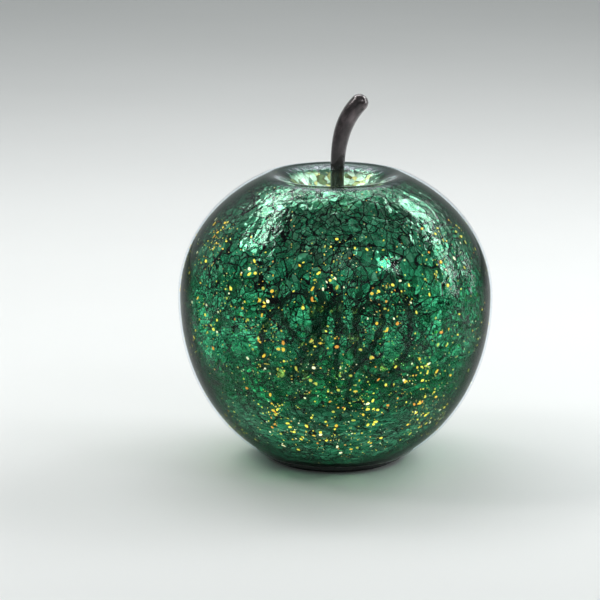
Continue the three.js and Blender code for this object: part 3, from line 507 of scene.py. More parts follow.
def facetted(line, outward):
    """The turned line with its facets; the seeds of the cells lie evenly over its surface."""
    smooth = lathe(line, CRACKLE_COLUMNS)
    points = smooth.reshape(-1, 3)
    weights = np.repeat(np.maximum(line[:, 0], 0.5), CRACKLE_COLUMNS)
    seeds = rng.choice(len(points), FACETS, replace=False, p=weights / weights.sum())
    tree = kdtree.KDTree(FACETS)
    for i, seed in enumerate(seeds):
        tree.insert(Vector(points[seed] * FACET_SQUASH), i)
    tree.balance()
    tilt = rng.normal(0, FACET_TILT, (FACETS, 3))
    lift = rng.normal(0, FACET_LIFT, FACETS)
    offset = np.empty(len(points))
    for i, point in enumerate(points * FACET_SQUASH):
        (_, cell, near), (_, _, far) = tree.find_n(point, 2)
        rise = float(np.dot(tilt[cell], points[i] - points[seeds[cell]])) + lift[cell]
        groove = max(0.0, 1 - (far - near) / GROOVE_WIDTH)
        offset[i] = max(DEEPEST_FACET, min(HIGHEST_FACET, rise)) - GROOVE_DEPTH * groove
    return smooth + outward * offset.reshape(smooth.shape[:2])[:, :, None]


outline = apple_outline()
skin_line = resampled(outline, SKIN_SPACING)
crackle_line = resampled(inset(outline, CRACKLE_INSET), CRACKLE_SPACING)
crackle_line = crackle_line[crackle_line[:, 1] > CRACKLE_START]
crackle_outward = outward_directions(crackle_line, CRACKLE_COLUMNS)
crackle_points = facetted(crackle_line, crackle_outward)


# Glass materials: noise and cells are sized in millimetres

BIG_CELL = 7.8
SMALL_CELL = 3.1
FINE_CELL = 1.55
SPARK_CELL = 1.5
SHOULDER_LEVEL = 108.0
SIDE_STRETCH = 0.74
FLATTENING = 0.0110
DIMPLE_LEVEL = 116.0
# Distances from the axis between which the dimple's bowl and its lip begin and end
BOWL_EDGE = (23.5, 27.0)
LIP_INNER_EDGE = (26.0, 29.0)
LIP_OUTER_EDGE = (33.5, 37.0)
# Heights between which the silver and the painted glow change
THICK_TOP = (94.0, 118.0)
THICK_FOOT = (30.0, 50.0)
PAINTED_GLOW_FOOT = (20.0, 60.0)
DEEP_GREEN = (0.003, 0.10, 0.042)
MID_GREEN = (0.010, 0.34, 0.155)
PALE_GREEN = (0.26, 0.74, 0.48)
CRACK_BLACK = (0.0010, 0.005, 0.004)
SMOKE_GREY = (0.12, 0.135, 0.14)


def clear_skin():
    """Smooth clear glass with a painted dark ring of shade, where the crackled face turns away, and a
    painted pale highlight at the edge.
    """
    n = Nodes("clear_glass")
    wave = n.noise(n.millimetres(), 0.02).outputs[0]
    edge = n.add("ShaderNodeLayerWeight", {"Blend": 0.5}).outputs["Facing"]
    # The see-through colour paints shade and a highlight: dark in the ring, pale near the edge and grey at
    # the very rim.
    tint = n.mix(n.step(edge, 0.46, 0.76), (0.985, 0.995, 0.99), (0.11, 0.17, 0.155))
    tint = n.mix(n.step(edge, 0.815, 0.85), tint, (0.84, 0.89, 0.93))
    tint = n.mix(n.step(edge, 0.92, 0.97), tint, (0.50, 0.55, 0.58))
    see = n.add("ShaderNodeBsdfTransparent", {"Color": tint})
    shine = {"Color": WHITE, "Roughness": 0.04, "Normal": n.bump(wave, 0.0006)}
    gloss = n.add("ShaderNodeBsdfGlossy", shine)
    # Both faces of the wall mirror alike, so that the far side stays clear near the edge.
    mirror = n.math("ADD", 0.004, n.math("POWER", edge, 8.0), clamp=True)
    n.blend(mirror, see, gloss)
    return n.material


class Crackle:
    """Green lustre under the skin: tilted mirror facets, black cracks, and painted light in emission: warm
    points of caught lamp light and the glows of the dimple and the facets.
    """

    def __init__(self):
        n = self.n = Nodes("crackle_lustre")
        self.mm = n.millimetres()
        self.x, self.y, self.z = n.axes(self.mm)
        self.warped = self.wandering()
        flow = self.drawn_out()
        self.big, self.big_edge = self.cells(flow, BIG_CELL)
        self.small, self.small_edge = self.cells(flow, SMALL_CELL)
        self.fine, self.fine_edge = self.cells(flow, FINE_CELL)
        self.pick = n.channels(self.small)
        self.tone = n.plus(n.times(self.pick[0], 0.6), n.times(n.channels(self.big)[1], 0.4))
        zone = n.noise(self.mm, 0.045, 2.0, 0.55).outputs[0]
        self.calm = n.step(zone, 0.50, 0.58)
        self.busy = n.most(n.step(zone, 0.50, 0.42), n.step(self.z, SHOULDER_LEVEL, 128.0, 0.0, 0.7))
        self.crack = self.cracks()
        self.whole = n.less(1.0, self.crack)
        self.off_axis = n.math("SQRT", n.plus(n.times(self.x, self.x), n.times(self.y, self.y)))
        self.high = n.step(self.z, DIMPLE_LEVEL, DIMPLE_LEVEL + 4.0)

    def wandering(self):
        """Places that drift and shake, so that no crack runs straight."""
        n = self.n
        slow = n.noise(self.mm, 0.03, 1.0).outputs["Color"]
        ripple = n.noise(self.mm, 0.18).outputs["Color"]
        drifted = n.vector("ADD", self.mm, n.scaled(n.centred(slow), 15.0))
        return n.vector("ADD", drifted, n.scaled(n.centred(ripple), 3.0))

    def drawn_out(self):
        """Cracks run up and down the sides and lie flat towards the foot."""
        n = self.n
        x, y, z = n.axes(self.warped)
        low = n.most(n.less(SHOULDER_LEVEL, z), 0.0)
        height = n.less(n.times(z, SIDE_STRETCH), n.times(n.times(low, low), FLATTENING))
        return n.joined(x, y, height)

    def cells(self, flow, size):
        """The cells' own random colours, and the distance to the nearest edge."""
        edge = self.n.voronoi(flow, size, "DISTANCE_TO_EDGE").outputs["Distance"]
        return self.n.voronoi(flow, size).outputs["Color"], edge

    def cracks(self):
        n = self.n
        big = n.step(self.big_edge, 0.020, 0.040, 1.0, 0.0)
        small = n.step(self.small_edge, 0.036, 0.072, 1.0, 0.0)
        small = n.times(small, n.less(1.0, n.times(self.calm, 0.7)))
        fine = n.step(self.fine_edge, 0.045, 0.110, 0.9, 0.0)
        fine = n.times(fine, n.plus(0.06, n.times(self.busy, 0.50)))
        return n.most(big, n.most(small, fine))

    def facet_normal(self):
        """Every cell leans its own way, and the finest ones only in the busy patches."""
        n = self.n
        lean = n.scaled(n.centred(self.big), 0.09)
        lean = n.vector("ADD", lean, n.scaled(n.centred(self.small), 0.08))
        wobble = n.vector("MULTIPLY", n.centred(self.fine), n.joined(self.busy, self.busy, self.busy))
        lean = n.vector("ADD", lean, n.scaled(wobble, 0.09))
        surface = n.add("ShaderNodeNewGeometry").outputs["Normal"]
        return n.vector("NORMALIZE", n.vector("ADD", surface, lean))

    def foil_colour(self):
        n = self.n
        colour = n.mix(n.step(self.tone, 0.22, 0.72), DEEP_GREEN, MID_GREEN)
        colour = n.mix(n.step(self.pick[1], 0.80, 0.96, 0.0, 0.6), colour, PALE_GREEN)
        # The busy patches are crazed so finely that they look like grey-green sand.
        grain = n.step(n.channels(self.fine)[0], 0.25, 0.95)
        sand = n.mix(grain, (0.025, 0.090, 0.055), (0.26, 0.46, 0.34))
        colour = n.mix(n.times(self.busy, 0.66), colour, sand)
        smoke = n.step(n.noise(self.mm, 0.04, 3.0, 0.6).outputs[0], 0.54, 0.70, 0.0, 0.6)
        colour = n.mix(smoke, colour, SMOKE_GREY)
        colour = n.mix(self.crack, colour, CRACK_BLACK)
        # The lip round the dimple is thick and hardly crazed: it looks lilac-grey.
        lip = n.step(self.off_axis, *LIP_INNER_EDGE)
        lip = n.times(lip, n.step(self.off_axis, *LIP_OUTER_EDGE, 1.0, 0.0))
        lip = n.times(lip, self.high)
        streak = n.noise(n.vector("MULTIPLY", self.mm, (1.0, 1.0, 7.0)), 0.25, 3.0, 0.6).outputs[0]
        lilac = n.mix(streak, (0.10, 0.115, 0.13), (0.34, 0.36, 0.42))
        return n.mix(n.times(lip, 0.85), colour, lilac)

    def sparks(self):
        """Painted glints: pinpoints of lamp light in emission, one in a rare small cell, closer together in
        some places.
        """
        n = self.n
        cell = n.voronoi(self.warped, SPARK_CELL)
        pick = n.channels(cell.outputs["Color"])
        cluster = n.step(n.noise(self.mm, 0.05).outputs[0], 0.42, 0.66, 0.99, 0.86)
        rare = n.math("GREATER_THAN", pick[0], cluster)
        dot = n.step(cell.outputs["Distance"], 0.16, 0.30, 1.0, 0.0)
        warm = n.mix(pick[1], (1.0, 0.52, 0.06), (0.95, 0.92, 0.42))
        return n.scaled(warm, n.times(n.times(rare, dot), n.times(pick[2], 1.1)))

    def dimple_shine(self):
        """A painted glow round the foot of the stem, in emission, standing in for the lamps below shining
        through the dimple's floor.
        """
        n = self.n
        bowl = n.times(n.step(self.off_axis, *BOWL_EDGE, 1.0, 0.0), self.high)
        shine = n.times(bowl, n.less(1.0, n.times(self.crack, 0.35)))
        shine = n.times(shine, n.step(self.pick[2], 0.15, 0.75, 0.20, 1.25))
        painted_glow_colour = n.mix(n.step(self.pick[0], 0.62, 0.80), (0.66, 1.0, 0.74), (0.78, 0.80, 0.30))
        return n.scaled(painted_glow_colour, shine)

    def facet_glow(self):
        """A painted glow, in emission, for the lamps lighting the foil from behind: each facet glows a
        little, more towards the foot, and the cracks stay black.
        """
        n = self.n
        share = n.times(self.whole, n.step(self.pick[1], 0.2, 1.0, 0.015, 0.130))
        share = n.times(share, n.step(self.z, *PAINTED_GLOW_FOOT, 2.2, 1.0))
        return n.scaled(n.mix(self.tone, (0.04, 0.52, 0.20), (0.16, 0.86, 0.48)), share)

    def clear_share(self):
        """The top and the foot are silvered thickly; between them the cable inside shows through."""
        n = self.n
        thin = n.times(n.step(self.z, *THICK_TOP, 1.0, 0.14), n.step(self.z, *THICK_FOOT, 0.15, 1.0))
        clear = n.times(thin, n.plus(0.90, n.times(self.calm, 0.04)))
        clear = n.plus(clear, n.times(self.pick[0], 0.06))
        return n.times(clear, self.whole)

    def material(self):
        n = self.n
        # Painted light: the glints, the dimple's glow and the facets' glow go to the emission.
        light = n.vector("ADD", n.vector("ADD", self.sparks(), self.dimple_shine()), self.facet_glow())
        foil = n.principled(Base_Color=self.foil_colour(), Metallic=0.62, Normal=self.facet_normal(),
                            Roughness=n.plus(0.05, n.times(self.pick[2], 0.08)),
                            Emission_Color=light, Emission_Strength=1.0)
        tint = n.mix(n.step(self.tone, 0.15, 0.85), (0.07, 0.33, 0.19), (0.31, 0.82, 0.58))
        n.blend(self.clear_share(), foil, n.add("ShaderNodeBsdfTransparent", {"Color": tint}))
        return n.material


def glass_wall():
    """One closed body: clear skin outside, crackled face inside, ground seat and bore below."""
    foot = crackle_line[0, 1]
    seat_rings = ((SEAT_RADIUS - SEAT_ROUNDING, SEAT), (BORE + SEAT_EDGE, SEAT), (BORE, SEAT + SEAT_EDGE),
                  (BORE, foot - BORE_CHAMFER), (BORE + BORE_CHAMFER, foot))
    vertices = np.vstack([
        lathe(skin_line, SKIN_COLUMNS).reshape(-1, 3),
        [[0, 0, (RIM - DIMPLE_DEPTH) * MM]],
        crackle_points.reshape(-1, 3),
        [[0, 0, crackle_line[-1, 1] * MM]],
        lathe(seat_rings, SKIN_COLUMNS).reshape(-1, 3),
    ])
    skin = index_grid(0, len(skin_line), SKIN_COLUMNS)
    crackled = index_grid(skin.size + 1, len(crackle_line), CRACKLE_COLUMNS)
    crackled_middle = skin.size + 1 + crackled.size
    seat = index_grid(crackled_middle + 1, len(seat_rings), SKIN_COLUMNS)
    clear_faces = bands(skin) + fan(skin[-1], skin.size)
    clear_faces += bands(np.vstack([skin[:1], seat]), inward=True)
    crackled_faces = bands(crackled, inward=True) + fan(crackled[-1], crackled_middle, inward=True)
    crackled_faces += stitches(seat[-1], crackled[0])
    mesh = mesh_of("glass_wall", vertices.tolist(), clear_faces + crackled_faces)
    obj = new_object("glass_wall", mesh, (clear_skin(), Crackle().material()))
    slots = [0] * len(clear_faces) + [1] * len(crackled_faces)
    mesh.polygons.foreach_set("material_index", slots)
    face_outwards(mesh)
    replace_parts(obj, "glass_shell")


glass_wall()


# Painted glints: warm points of lamp light caught on the crackle

GLINT_VERTICES = 21750
GLINT_TOP = 128
RANDOM_HUBS = 84
# Hubs on the front, as a sideways place and a height in millimetres
FRONT_HUBS = (
    (-20, 68), (-12, 34), (4, 30), (-4, 118), (14, 122), (-48, 96), (44, 62), (52, 74), (30, 100), (8, 46),
)
HUB_SHARE = 0.74
HUB_ROWS = 7
HUB_WIDTH = 6.0
# Shares of the rows between which hubs, single points and all points lie
HUB_LOWEST = 0.14
SINGLE_LOWEST = 0.10
SINGLE_HIGHEST = 0.97
GLINT_LOWEST = 0.06
GLINT_SMALLEST = 0.00018
GLINT_GROWTH = 0.00082
GLINT_STAND_OFF = 0.00025
# Shares of a flake's size: how far its edge, its top and its underside stand off
FLAKE_EDGE = 0.12
FLAKE_TOP = 0.22
FLAKE_UNDERSIDE = 0.16
GLINT_SHARES = (0.36, 0.20, 0.09, 0.15, 0.20)


def glow(name, colour, strength):
    n = Nodes(name)
    flicker = n.noise(n.millimetres(), 1.2).outputs[0]
    shade = n.mix(flicker, tuple(c * 0.6 for c in colour), colour)
    n.principled(Base_Color=shade, Roughness=0.25, Emission_Color=shade, Emission_Strength=strength)
    return n.material


def glint_hubs(rows):
    """Where the points gather, as a row of the crackled face and an angle round it."""
    hubs = []
    for _ in range(RANDOM_HUBS):
        row = int(rng.integers(int(rows * HUB_LOWEST), rows))
        hubs.append((row, rng.uniform(0, FULL_TURN)))
    for x, z in FRONT_HUBS:
        row = int(np.argmin(np.abs(crackle_line[:rows, 1] - z)))
        share = max(-0.99, min(0.99, x / crackle_line[row, 0]))
        hubs.append((row, math.asin(share) - math.pi / 2))
    return np.array(hubs)


def glint_place(hubs, rows):
    """A row and an angle: most points lie near a hub and the others anywhere."""
    if rng.random() < HUB_SHARE:
        row, angle = hubs[rng.integers(len(hubs))]
        row += rng.normal(0, HUB_ROWS)
        radius = crackle_line[int(np.clip(row, 0, rows)), 0]
        return row, angle + rng.normal(0, HUB_WIDTH) / max(radius, 10)
    row = rng.uniform(rows * SINGLE_LOWEST, rows * SINGLE_HIGHEST)
    return row, rng.uniform(0, FULL_TURN)


def flake(row, angle):
    """The points of one flake: its corners, then its domed top, then its underside."""
    column = int(angle / FULL_TURN * CRACKLE_COLUMNS) % CRACKLE_COLUMNS
    normal = crackle_outward[row, column]
    side = np.cross(normal, (0.2, 0.1, 1.0))
    side /= np.linalg.norm(side)
    other = np.cross(normal, side)
    size = GLINT_SMALLEST + GLINT_GROWTH * rng.random() ** 4.0
    long = rng.uniform(0.75, 1.5)
    spin = rng.uniform(0, math.pi)
    corners = int(rng.integers(5, 8))
    hub = crackle_points[row, column] + normal * (GLINT_STAND_OFF + size * FLAKE_EDGE)
    points = []
    for k in range(corners):
        a = FULL_TURN * k / corners + rng.uniform(-0.25, 0.25)
        u = size * math.cos(a) * long
        v = size * math.sin(a) / long
        points.append(hub + side * (u * math.cos(spin) - v * math.sin(spin))
                      + other * (u * math.sin(spin) + v * math.cos(spin)))
    return [*points, hub + normal * size * FLAKE_TOP, hub - normal * size * FLAKE_UNDERSIDE]


def glints():
    """Painted glints: small domed flakes in the wall that glow, standing in for lamp light that facets of
    the crackled face send outwards.
    """
    materials = (
        glow("glint_yellow", (1.0, 0.86, 0.10), 1.05),
        glow("glint_gold", (1.0, 0.64, 0.06), 0.90),
        glow("glint_amber", (0.95, 0.40, 0.05), 0.75),
        glow("glint_pale", (1.0, 0.97, 0.62), 1.15),
        glow("glint_moss", (0.62, 0.62, 0.09), 0.70),
    )
    rows = int(np.argmax(crackle_line[:, 1] > GLINT_TOP))
    hubs = glint_hubs(rows)
    vertices, faces, slots = [], [], []
    while len(vertices) < GLINT_VERTICES:
        row, angle = glint_place(hubs, rows)
        if not rows * GLINT_LOWEST < row < rows:
            continue
        points = flake(int(row), angle)
        base = len(vertices)
        corners = len(points) - 2
        ring = base + np.arange(corners)
        vertices += [tuple(p) for p in points]
        faces += fan(ring, base + corners) + fan(ring, base + corners + 1, inward=True)
        slots += [int(rng.choice(len(materials), p=GLINT_SHARES))] * (2 * corners)
    mesh = mesh_of("glints", vertices, faces)
    new_object("glints", mesh, materials, smooth=False)
    mesh.polygons.foreach_set("material_index", slots)
    face_outwards(mesh)


glints()


# Stem: sizes in millimetres

STEM_OFFSET = 0.9
STEM_REACH = 10.9
STEM_RISE = 36.3
STEM_FOOT = 3.5
STEM_TIP = 4.6
STEM_LEAN = math.radians(43.8)
STEM_ABOVE_FLOOR = 0.3
STEM_BELOW_TIP = 0.03
STEM_STRAIGHT = 0.42
STEM_BEND = 0.335
# The rod's surface is uneven, and stays this far inside the CAD stem.
STEM_SKIN = 0.02
STEM_WAVES = 0.018
SHORT_WAVE = 31
LONG_WAVE = 13
SWELL_START = 0.3
SWELL_LENGTH = 0.62


def stem_metal():
    n = Nodes("stem_metal")
    mm = n.millimetres()
    streak = n.noise(n.vector("MULTIPLY", mm, (1.0, 1.0, 0.12)), 1.6, 4.0, 0.6).outputs[0]
    cloud = n.noise(mm, 0.16, 3.0, 0.6).outputs[0]
    pit = n.noise(mm, 2.6, 2.0, 0.6).outputs[0]
    colour = n.mix(n.step(cloud, 0.35, 0.7), (0.026, 0.020, 0.021), (0.10, 0.078, 0.084))
    colour = n.mix(n.step(streak, 0.55, 0.8, 0.0, 0.5), colour, (0.15, 0.115, 0.115))
    # Painted shade and light: the metal is darkest where it stands in the dimple and lighter towards the
    # tip.
    colour = n.scaled(colour, n.step(n.axes(mm)[2], 138.0, 178.0, 0.35, 1.5))
    height = n.plus(n.times(streak, 0.7), n.times(pit, 0.5))
    n.principled(Base_Color=colour, Metallic=0.75, Roughness=n.plus(0.15, n.times(cloud, 0.16)),
                 Coat_Weight=0.8, Normal=n.bump(height, 0.00012, 0.7))
    return n.material


def stem():
    """A bent rod, thicker and rounded at its tip, that rises from the dimple's floor."""
    foot = np.array([STEM_OFFSET, 0, float(dimple(STEM_FOOT + STEM_OFFSET)) + STEM_ABOVE_FLOOR])
    tip = np.array([STEM_OFFSET + STEM_REACH, 0, RIM + STEM_RISE - STEM_BELOW_TIP])
    rise = tip[2] - foot[2]
    over_foot = foot + (0, 0, rise * STEM_STRAIGHT)
    under_tip = tip - rise * STEM_BEND * np.array([math.sin(STEM_LEAN), 0, math.cos(STEM_LEAN)])
    t = np.linspace(0, 1, 400)[:, None]
    lower = (1 - t) ** 3 * foot + 3 * t * (1 - t) ** 2 * over_foot
    curve = lower + 3 * t * t * (1 - t) * under_tip + t ** 3 * tip
    along = lengths_along(curve)
    share = np.linspace(0, 1, 90)
    path = np.stack([np.interp(share * along[-1], along, curve[:, i]) for i in range(3)], -1)
    swell = np.clip((share - SWELL_START) / SWELL_LENGTH, 0, 1)
    swell = swell * swell * (3 - 2 * swell)
    waves = STEM_WAVES * np.sin(share * SHORT_WAVE) * np.sin(share * LONG_WAVE)
    radii = STEM_FOOT + (STEM_TIP - STEM_FOOT) * swell - STEM_SKIN + waves
    mesh = capped_mesh("stem_rod", swept(path, radii, sides=56, dome=14))
    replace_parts(new_object("stem_rod", mesh, (stem_metal(),)), "stem")


stem()


# Light string: sizes in millimetres, angles in degrees

LOOP_COUNT = 6
LOOP_STEPS = 24
LOOP_START_ANGLE = 76
LOOP_SWEEP = 318
LOOP_CENTRE_RADIUS = 24.5
LOOP_CENTRE_HEIGHT = 67
LOOP_HALF_WIDTH = 12.5
LOOP_HALF_HEIGHT = 22
LOOP_SLANT = 0.22
LOOP_WIDTH_SPREAD = 0.14
LOOP_WIDTH_BEAT = 2.3
LOOP_HEIGHT_SPREAD = 0.13
LOOP_HEIGHT_BEAT = 1.7
LOOP_HEIGHT_PHASE = 0.6
LOOP_LIFT_SPREAD = 0.12
LOOP_LIFT_BEAT = 3.1
OUTLET_RISE = 3
FREE_RISE = 10
FREE_SHIFT = (0.6, 0.8)
WIRE_RADIUS = 0.95
WIRE_SIDES = 10
WIRE_SPACING = 1.12
TWIST_PITCH = 15.0
TWIST_START = 6.0
LAMP_COUNT = 18
LAMP_LIGHTS = 5
LAMP_LIGHT_FIRST = 0.75
LAMP_LIGHT_STEP = 1.1
LAMP_LIGHT_ENERGY = 0.07
LAMP_LIGHT_SIZE = 0.004
LAMP_LIGHT_DRAWN_IN = 0.92


def loop_point(turns):
    """A point of the cable after so many turns; the loops differ a little in width, height and level."""
    sweep = math.radians(LOOP_START_ANGLE + LOOP_SWEEP * turns / LOOP_COUNT)
    wind = FULL_TURN * turns - math.pi / 2
    half_width = LOOP_HALF_WIDTH * (1 + LOOP_WIDTH_SPREAD * math.sin(LOOP_WIDTH_BEAT * sweep))
    height_beat = math.cos(LOOP_HEIGHT_BEAT * sweep + LOOP_HEIGHT_PHASE)
    half_height = LOOP_HALF_HEIGHT * (1 + LOOP_HEIGHT_SPREAD * height_beat)
    lift = LOOP_HALF_HEIGHT * LOOP_LIFT_SPREAD * math.sin(LOOP_LIFT_BEAT * sweep)
    radius = LOOP_CENTRE_RADIUS + half_width * math.cos(wind)
    angle = sweep + LOOP_SLANT * math.sin(wind)
    height = LOOP_CENTRE_HEIGHT + lift + half_height * math.sin(wind)
    return (radius * math.cos(angle), radius * math.sin(angle), height)


def smoothed(points, parts):
    """A smooth curve through the points, with so many parts between each two."""
    points = np.array(points, float)
    ends = np.vstack([points[:1], points, points[-1:]])
    curve = []
    for p0, p1, p2, p3 in zip(ends, ends[1:], ends[2:], ends[3:]):
        for t in np.arange(parts) / parts:
            curve.append(0.5 * (2 * p1 + (p2 - p0) * t + (2 * p0 - 5 * p1 + 4 * p2 - p3) * t * t
                                + (3 * p1 - p0 - 3 * p2 + p3) * t ** 3))
    return np.array([*curve, points[-1]])


def cable_route():
    """From the circuit up through the bush in the lid, and then round the loops."""
    cable_low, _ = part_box("led_cable")
    grommet_low, grommet_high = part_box("cable_grommet")
    _, cap_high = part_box("housing_cap")
    x = (grommet_low.x + grommet_high.x) / 2 / MM
    y = (grommet_low.y + grommet_high.y) / 2 / MM
    cap_top = cap_high.z / MM
    points = [(x, y, cable_low.z / MM), (x, y, grommet_low.z / MM), (x, y, cap_top + OUTLET_RISE),
              (x + FREE_SHIFT[0], y + FREE_SHIFT[1], cap_top + FREE_RISE)]
    points += [loop_point(i / LOOP_STEPS) for i in range(LOOP_COUNT * LOOP_STEPS + 1)]
    return smoothed(points, 4)


def light_string():
    """Two sleeved wires twisted round each other."""
    route = cable_route()
    across, up = path_axes(route, np.array([1.0, 0, 0]))
    along = lengths_along(route)
    work = bmesh.new()
    for start in (0.0, math.pi):
        turn = (start + along / TWIST_PITCH * FULL_TURN)[:, None]
        apart = (WIRE_RADIUS * WIRE_SPACING * np.minimum(1.0, along / TWIST_START))[:, None]
        hubs = route + apart * (np.cos(turn) * across + np.sin(turn) * up)
        rings = [circle(hub, WIRE_RADIUS, a, u, WIRE_SIDES) for hub, a, u in zip(hubs, across, up)]
        wire = capped_mesh("wire", np.array(rings) * MM)
        work.from_mesh(wire)
        bpy.data.meshes.remove(wire)
    mesh = bpy.data.meshes.new("string_cable")
    work.to_mesh(mesh)
    work.free()
    sleeve = moulded("cable_sleeve", (0.004, 0.010, 0.007), 0.5, grain=0.5, spread=0.4)
    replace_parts(new_object("string_cable", mesh, (sleeve,)), "led_cable")


light_string()

# The bright bead of a lamp: a collar, a short waist and a domed lens, as (radius, height) in millimetres
BEAD_COLUMNS = 14
BEAD_PROFILE = (
    (0.40, -0.86), (0.78, -0.80), (0.86, -0.66), (0.86, -0.44), (0.68, -0.36), (0.70, 0.12), (0.66, 0.40),
    (0.54, 0.66), (0.34, 0.86), (0.12, 0.96),
)


def lamp_resin():
    n = Nodes("lamp_resin")
    cloud = n.noise(n.millimetres(), 0.7).outputs[0]
    n.principled(Base_Color=n.mix(cloud, (0.30, 0.22, 0.07), (0.46, 0.38, 0.16)),
                 Roughness=n.plus(0.30, n.times(cloud, 0.2)), Alpha=n.plus(0.22, n.times(cloud, 0.16)))
    return n.material


def lamp_drop(node):
    """The lamp's drop of resin, with its faces divided once."""
    mesh = NODES[node].data.copy()
    mesh.materials.clear()
    work = bmesh.new()
    work.from_mesh(mesh)
    bmesh.ops.remove_doubles(work, verts=work.verts, dist=1e-6)
    bmesh.ops.subdivide_edges(work, edges=work.edges, cuts=1, use_grid_fill=True)
    work.to_mesh(mesh)
    work.free()
    return mesh


def lamp_bead(name, node, number):
    """A small turned lens in the middle of the lamp, along its longest way."""
    corners = np.array([tuple(v.co) for v in NODES[node].data.vertices])
    centre = corners.mean(0)
    axis = np.linalg.svd(corners - centre, full_matrices=False)[2][0]
    turned = Vector(axis).to_track_quat("Z", "Y").to_matrix()
    points = lathe(BEAD_PROFILE, BEAD_COLUMNS)
    points[:, :, 0] *= 1 + 0.06 * math.sin(number)
    return capped_mesh(name, points @ np.array(turned).T + centre)


def lamps():
    """Each lamp is its drop of clear resin, with a small bright bead on the cable inside it."""
    resin = lamp_resin()
    bright = glow("lamp_bead", (1.0, 0.72, 0.16), 1.6)
    for number in range(1, LAMP_COUNT + 1):
        node = f"led_{number:02d}"
        drop = new_object(f"lamp_{number:02d}", lamp_drop(node), (resin,))
        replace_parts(drop, node)
        bead = f"bead_{number:02d}"
        new_object(bead, lamp_bead(bead, node, number), (bright,))


def lamp_lights():
    """The lamps' own light, as soft points along the loops."""
    for k in range(LAMP_LIGHTS):
        data = bpy.data.lights.new(f"lamp_light_{k + 1}", "POINT")
        data.energy = LAMP_LIGHT_ENERGY
        data.color = (1.0, 0.86, 0.52)
        data.shadow_soft_size = LAMP_LIGHT_SIZE
        obj = bpy.data.objects.new(f"lamp_light_{k + 1}", data)
        bpy.context.scene.collection.objects.link(obj)
        turns = LAMP_LIGHT_FIRST + k * LAMP_LIGHT_STEP
        obj.location = Vector(loop_point(turns)) * MM * LAMP_LIGHT_DRAWN_IN
        obj.visible_camera = False
        obj.visible_glossy = False


lamps()
lamp_lights()


# Materials of the CAD nodes that stay

CELL_BAND = 11.0
CELL_TIP = 22.6
SLEEVE_ROUGHNESS = 0.38


def board_lacquer():
    n = Nodes("board_lacquer")
    mm = n.millimetres()
    cloth = {"Vector": mm, "Scale": 2.2, "Distortion": 1.4, "Detail": 2.0}
    weave = n.add("ShaderNodeTexWave", cloth).outputs[1]
    tracks = {"Vector": mm, "Scale": 0.9, "Mortar Size": 0.035, "Color1": (0, 0, 0),
              "Color2": (0.1, 0.1, 0.1), "Mortar": WHITE}
    brick = n.add("ShaderNodeTexBrick", tracks).outputs[0]
    track = n.math("GREATER_THAN", brick, 0.5)
    colour = n.mix(n.times(weave, 0.3), (0.012, 0.10, 0.030), (0.02, 0.16, 0.05))
    colour = n.mix(n.times(track, 0.5), colour, (0.10, 0.26, 0.07))
    n.principled(Base_Color=colour, Roughness=n.plus(0.25, n.times(weave, 0.15)), Coat_Weight=0.4,
                 Normal=n.bump(track, 0.00004))
    return n.material


def cell_jacket(name, plus_side):
    """A dark sleeve that is copper-coloured towards the plus end, and bare metal at the tip."""
    n = Nodes(name)
    mm = n.millimetres()
    along = n.times(n.axes(mm)[0], plus_side)
    fine = n.noise(mm, 3.0).outputs[0]
    band = n.step(along, CELL_BAND, CELL_BAND + 0.2)
    tip = n.step(along, CELL_TIP, CELL_TIP + 0.1)
    colour = n.mix(band, (0.020, 0.045, 0.11), (0.55, 0.36, 0.13))
    colour = n.mix(tip, colour, (0.62, 0.61, 0.58))
    n.principled(Base_Color=colour, Roughness=n.plus(0.22, n.times(fine, 0.16)),
                 Metallic=n.most(n.times(band, 0.85), tip), Coat_Weight=0.3, Normal=n.bump(fine, 0.00002))
    return n.material


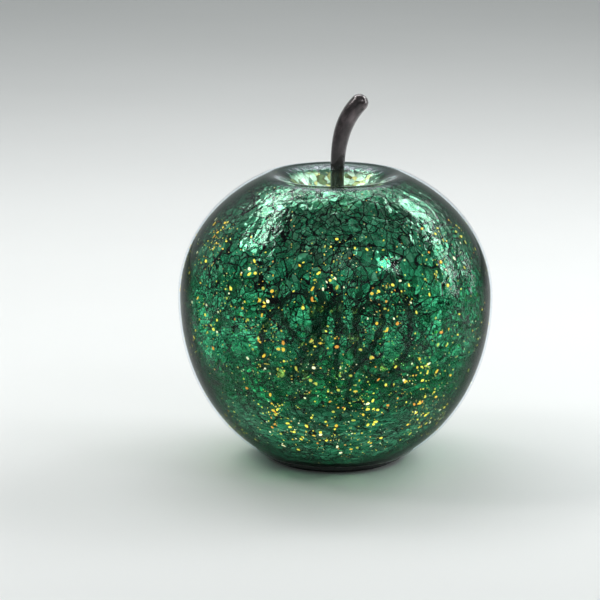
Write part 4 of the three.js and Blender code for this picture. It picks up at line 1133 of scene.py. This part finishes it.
def dress_nodes():
    """Gives each CAD piece that stays in the picture its look."""
    black_plastic = moulded("black_plastic", (0.011, 0.0115, 0.012), 0.46, grain=0.30, depth=0.00005)
    black_rubber = moulded("black_rubber", (0.008, 0.008, 0.0085), 0.72, grain=0.18, depth=0.00006)
    plated = moulded("nickel_plate", (0.60, 0.59, 0.56), 0.24, grain=0.12, depth=0.000006, metallic=1.0,
                     spread=0.12, stretch=(1, 1, 5))
    looks = {
        "base_housing": black_plastic,
        "housing_cap": black_plastic,
        "battery_door": black_plastic,
        "foot_ring": black_rubber,
        "cable_grommet": black_rubber,
        "base_seal": moulded("seal_rubber", (0.05, 0.052, 0.051), 0.62, depth=0.00004),
        "switch_body": plated,
        "switch_slider": moulded("grey_plastic", (0.30, 0.31, 0.32), 0.42, depth=0.00003),
        "circuit_board": board_lacquer(),
        "timer_chip": moulded("chip_resin", (0.014, 0.015, 0.017), 0.5, grain=0.15),
        "lead_red": moulded("red_sleeve", (0.42, 0.018, 0.012), SLEEVE_ROUGHNESS, grain=0.4, coat=0.2),
        "lead_black": moulded("black_sleeve", (0.010, 0.010, 0.011), SLEEVE_ROUGHNESS, grain=0.4, coat=0.2),
        "stem_adhesive": moulded("clear_gel", (0.55, 0.62, 0.58), 0.10, grain=0.9, depth=0.00006, coat=0.5),
        "battery_1": cell_jacket("cell_jacket_right", 1.0),
        "battery_2": cell_jacket("cell_jacket_left", -1.0),
        "battery_3": cell_jacket("cell_jacket_right_2", 1.0),
    }
    plated_names = ("cap_screw", "cell_spring", "bridge_plate", "plus_plate", "minus_plate")
    for name, obj in NODES.items():
        material = looks.get(name)
        if material is None and name.startswith(plated_names):
            material = plated
        if material is not None:
            obj.data.materials.clear()
            obj.data.materials.append(material)


dress_nodes()


# Floor

def floor():
    bpy.ops.mesh.primitive_plane_add(size=12.0, location=(0, 0, -0.0002))
    obj = bpy.context.object
    obj.name = "floor"
    n = Nodes("pale_floor")
    cloud = n.noise(n.millimetres(), 0.004, 3.0).outputs[0]
    n.principled(Base_Color=n.mix(cloud, (0.74, 0.75, 0.75), (0.79, 0.80, 0.80)), Roughness=0.75,
                 Specular_IOR_Level=0.25)
    obj.data.materials.append(n.material)


floor()

bpy.context.view_layer.update()
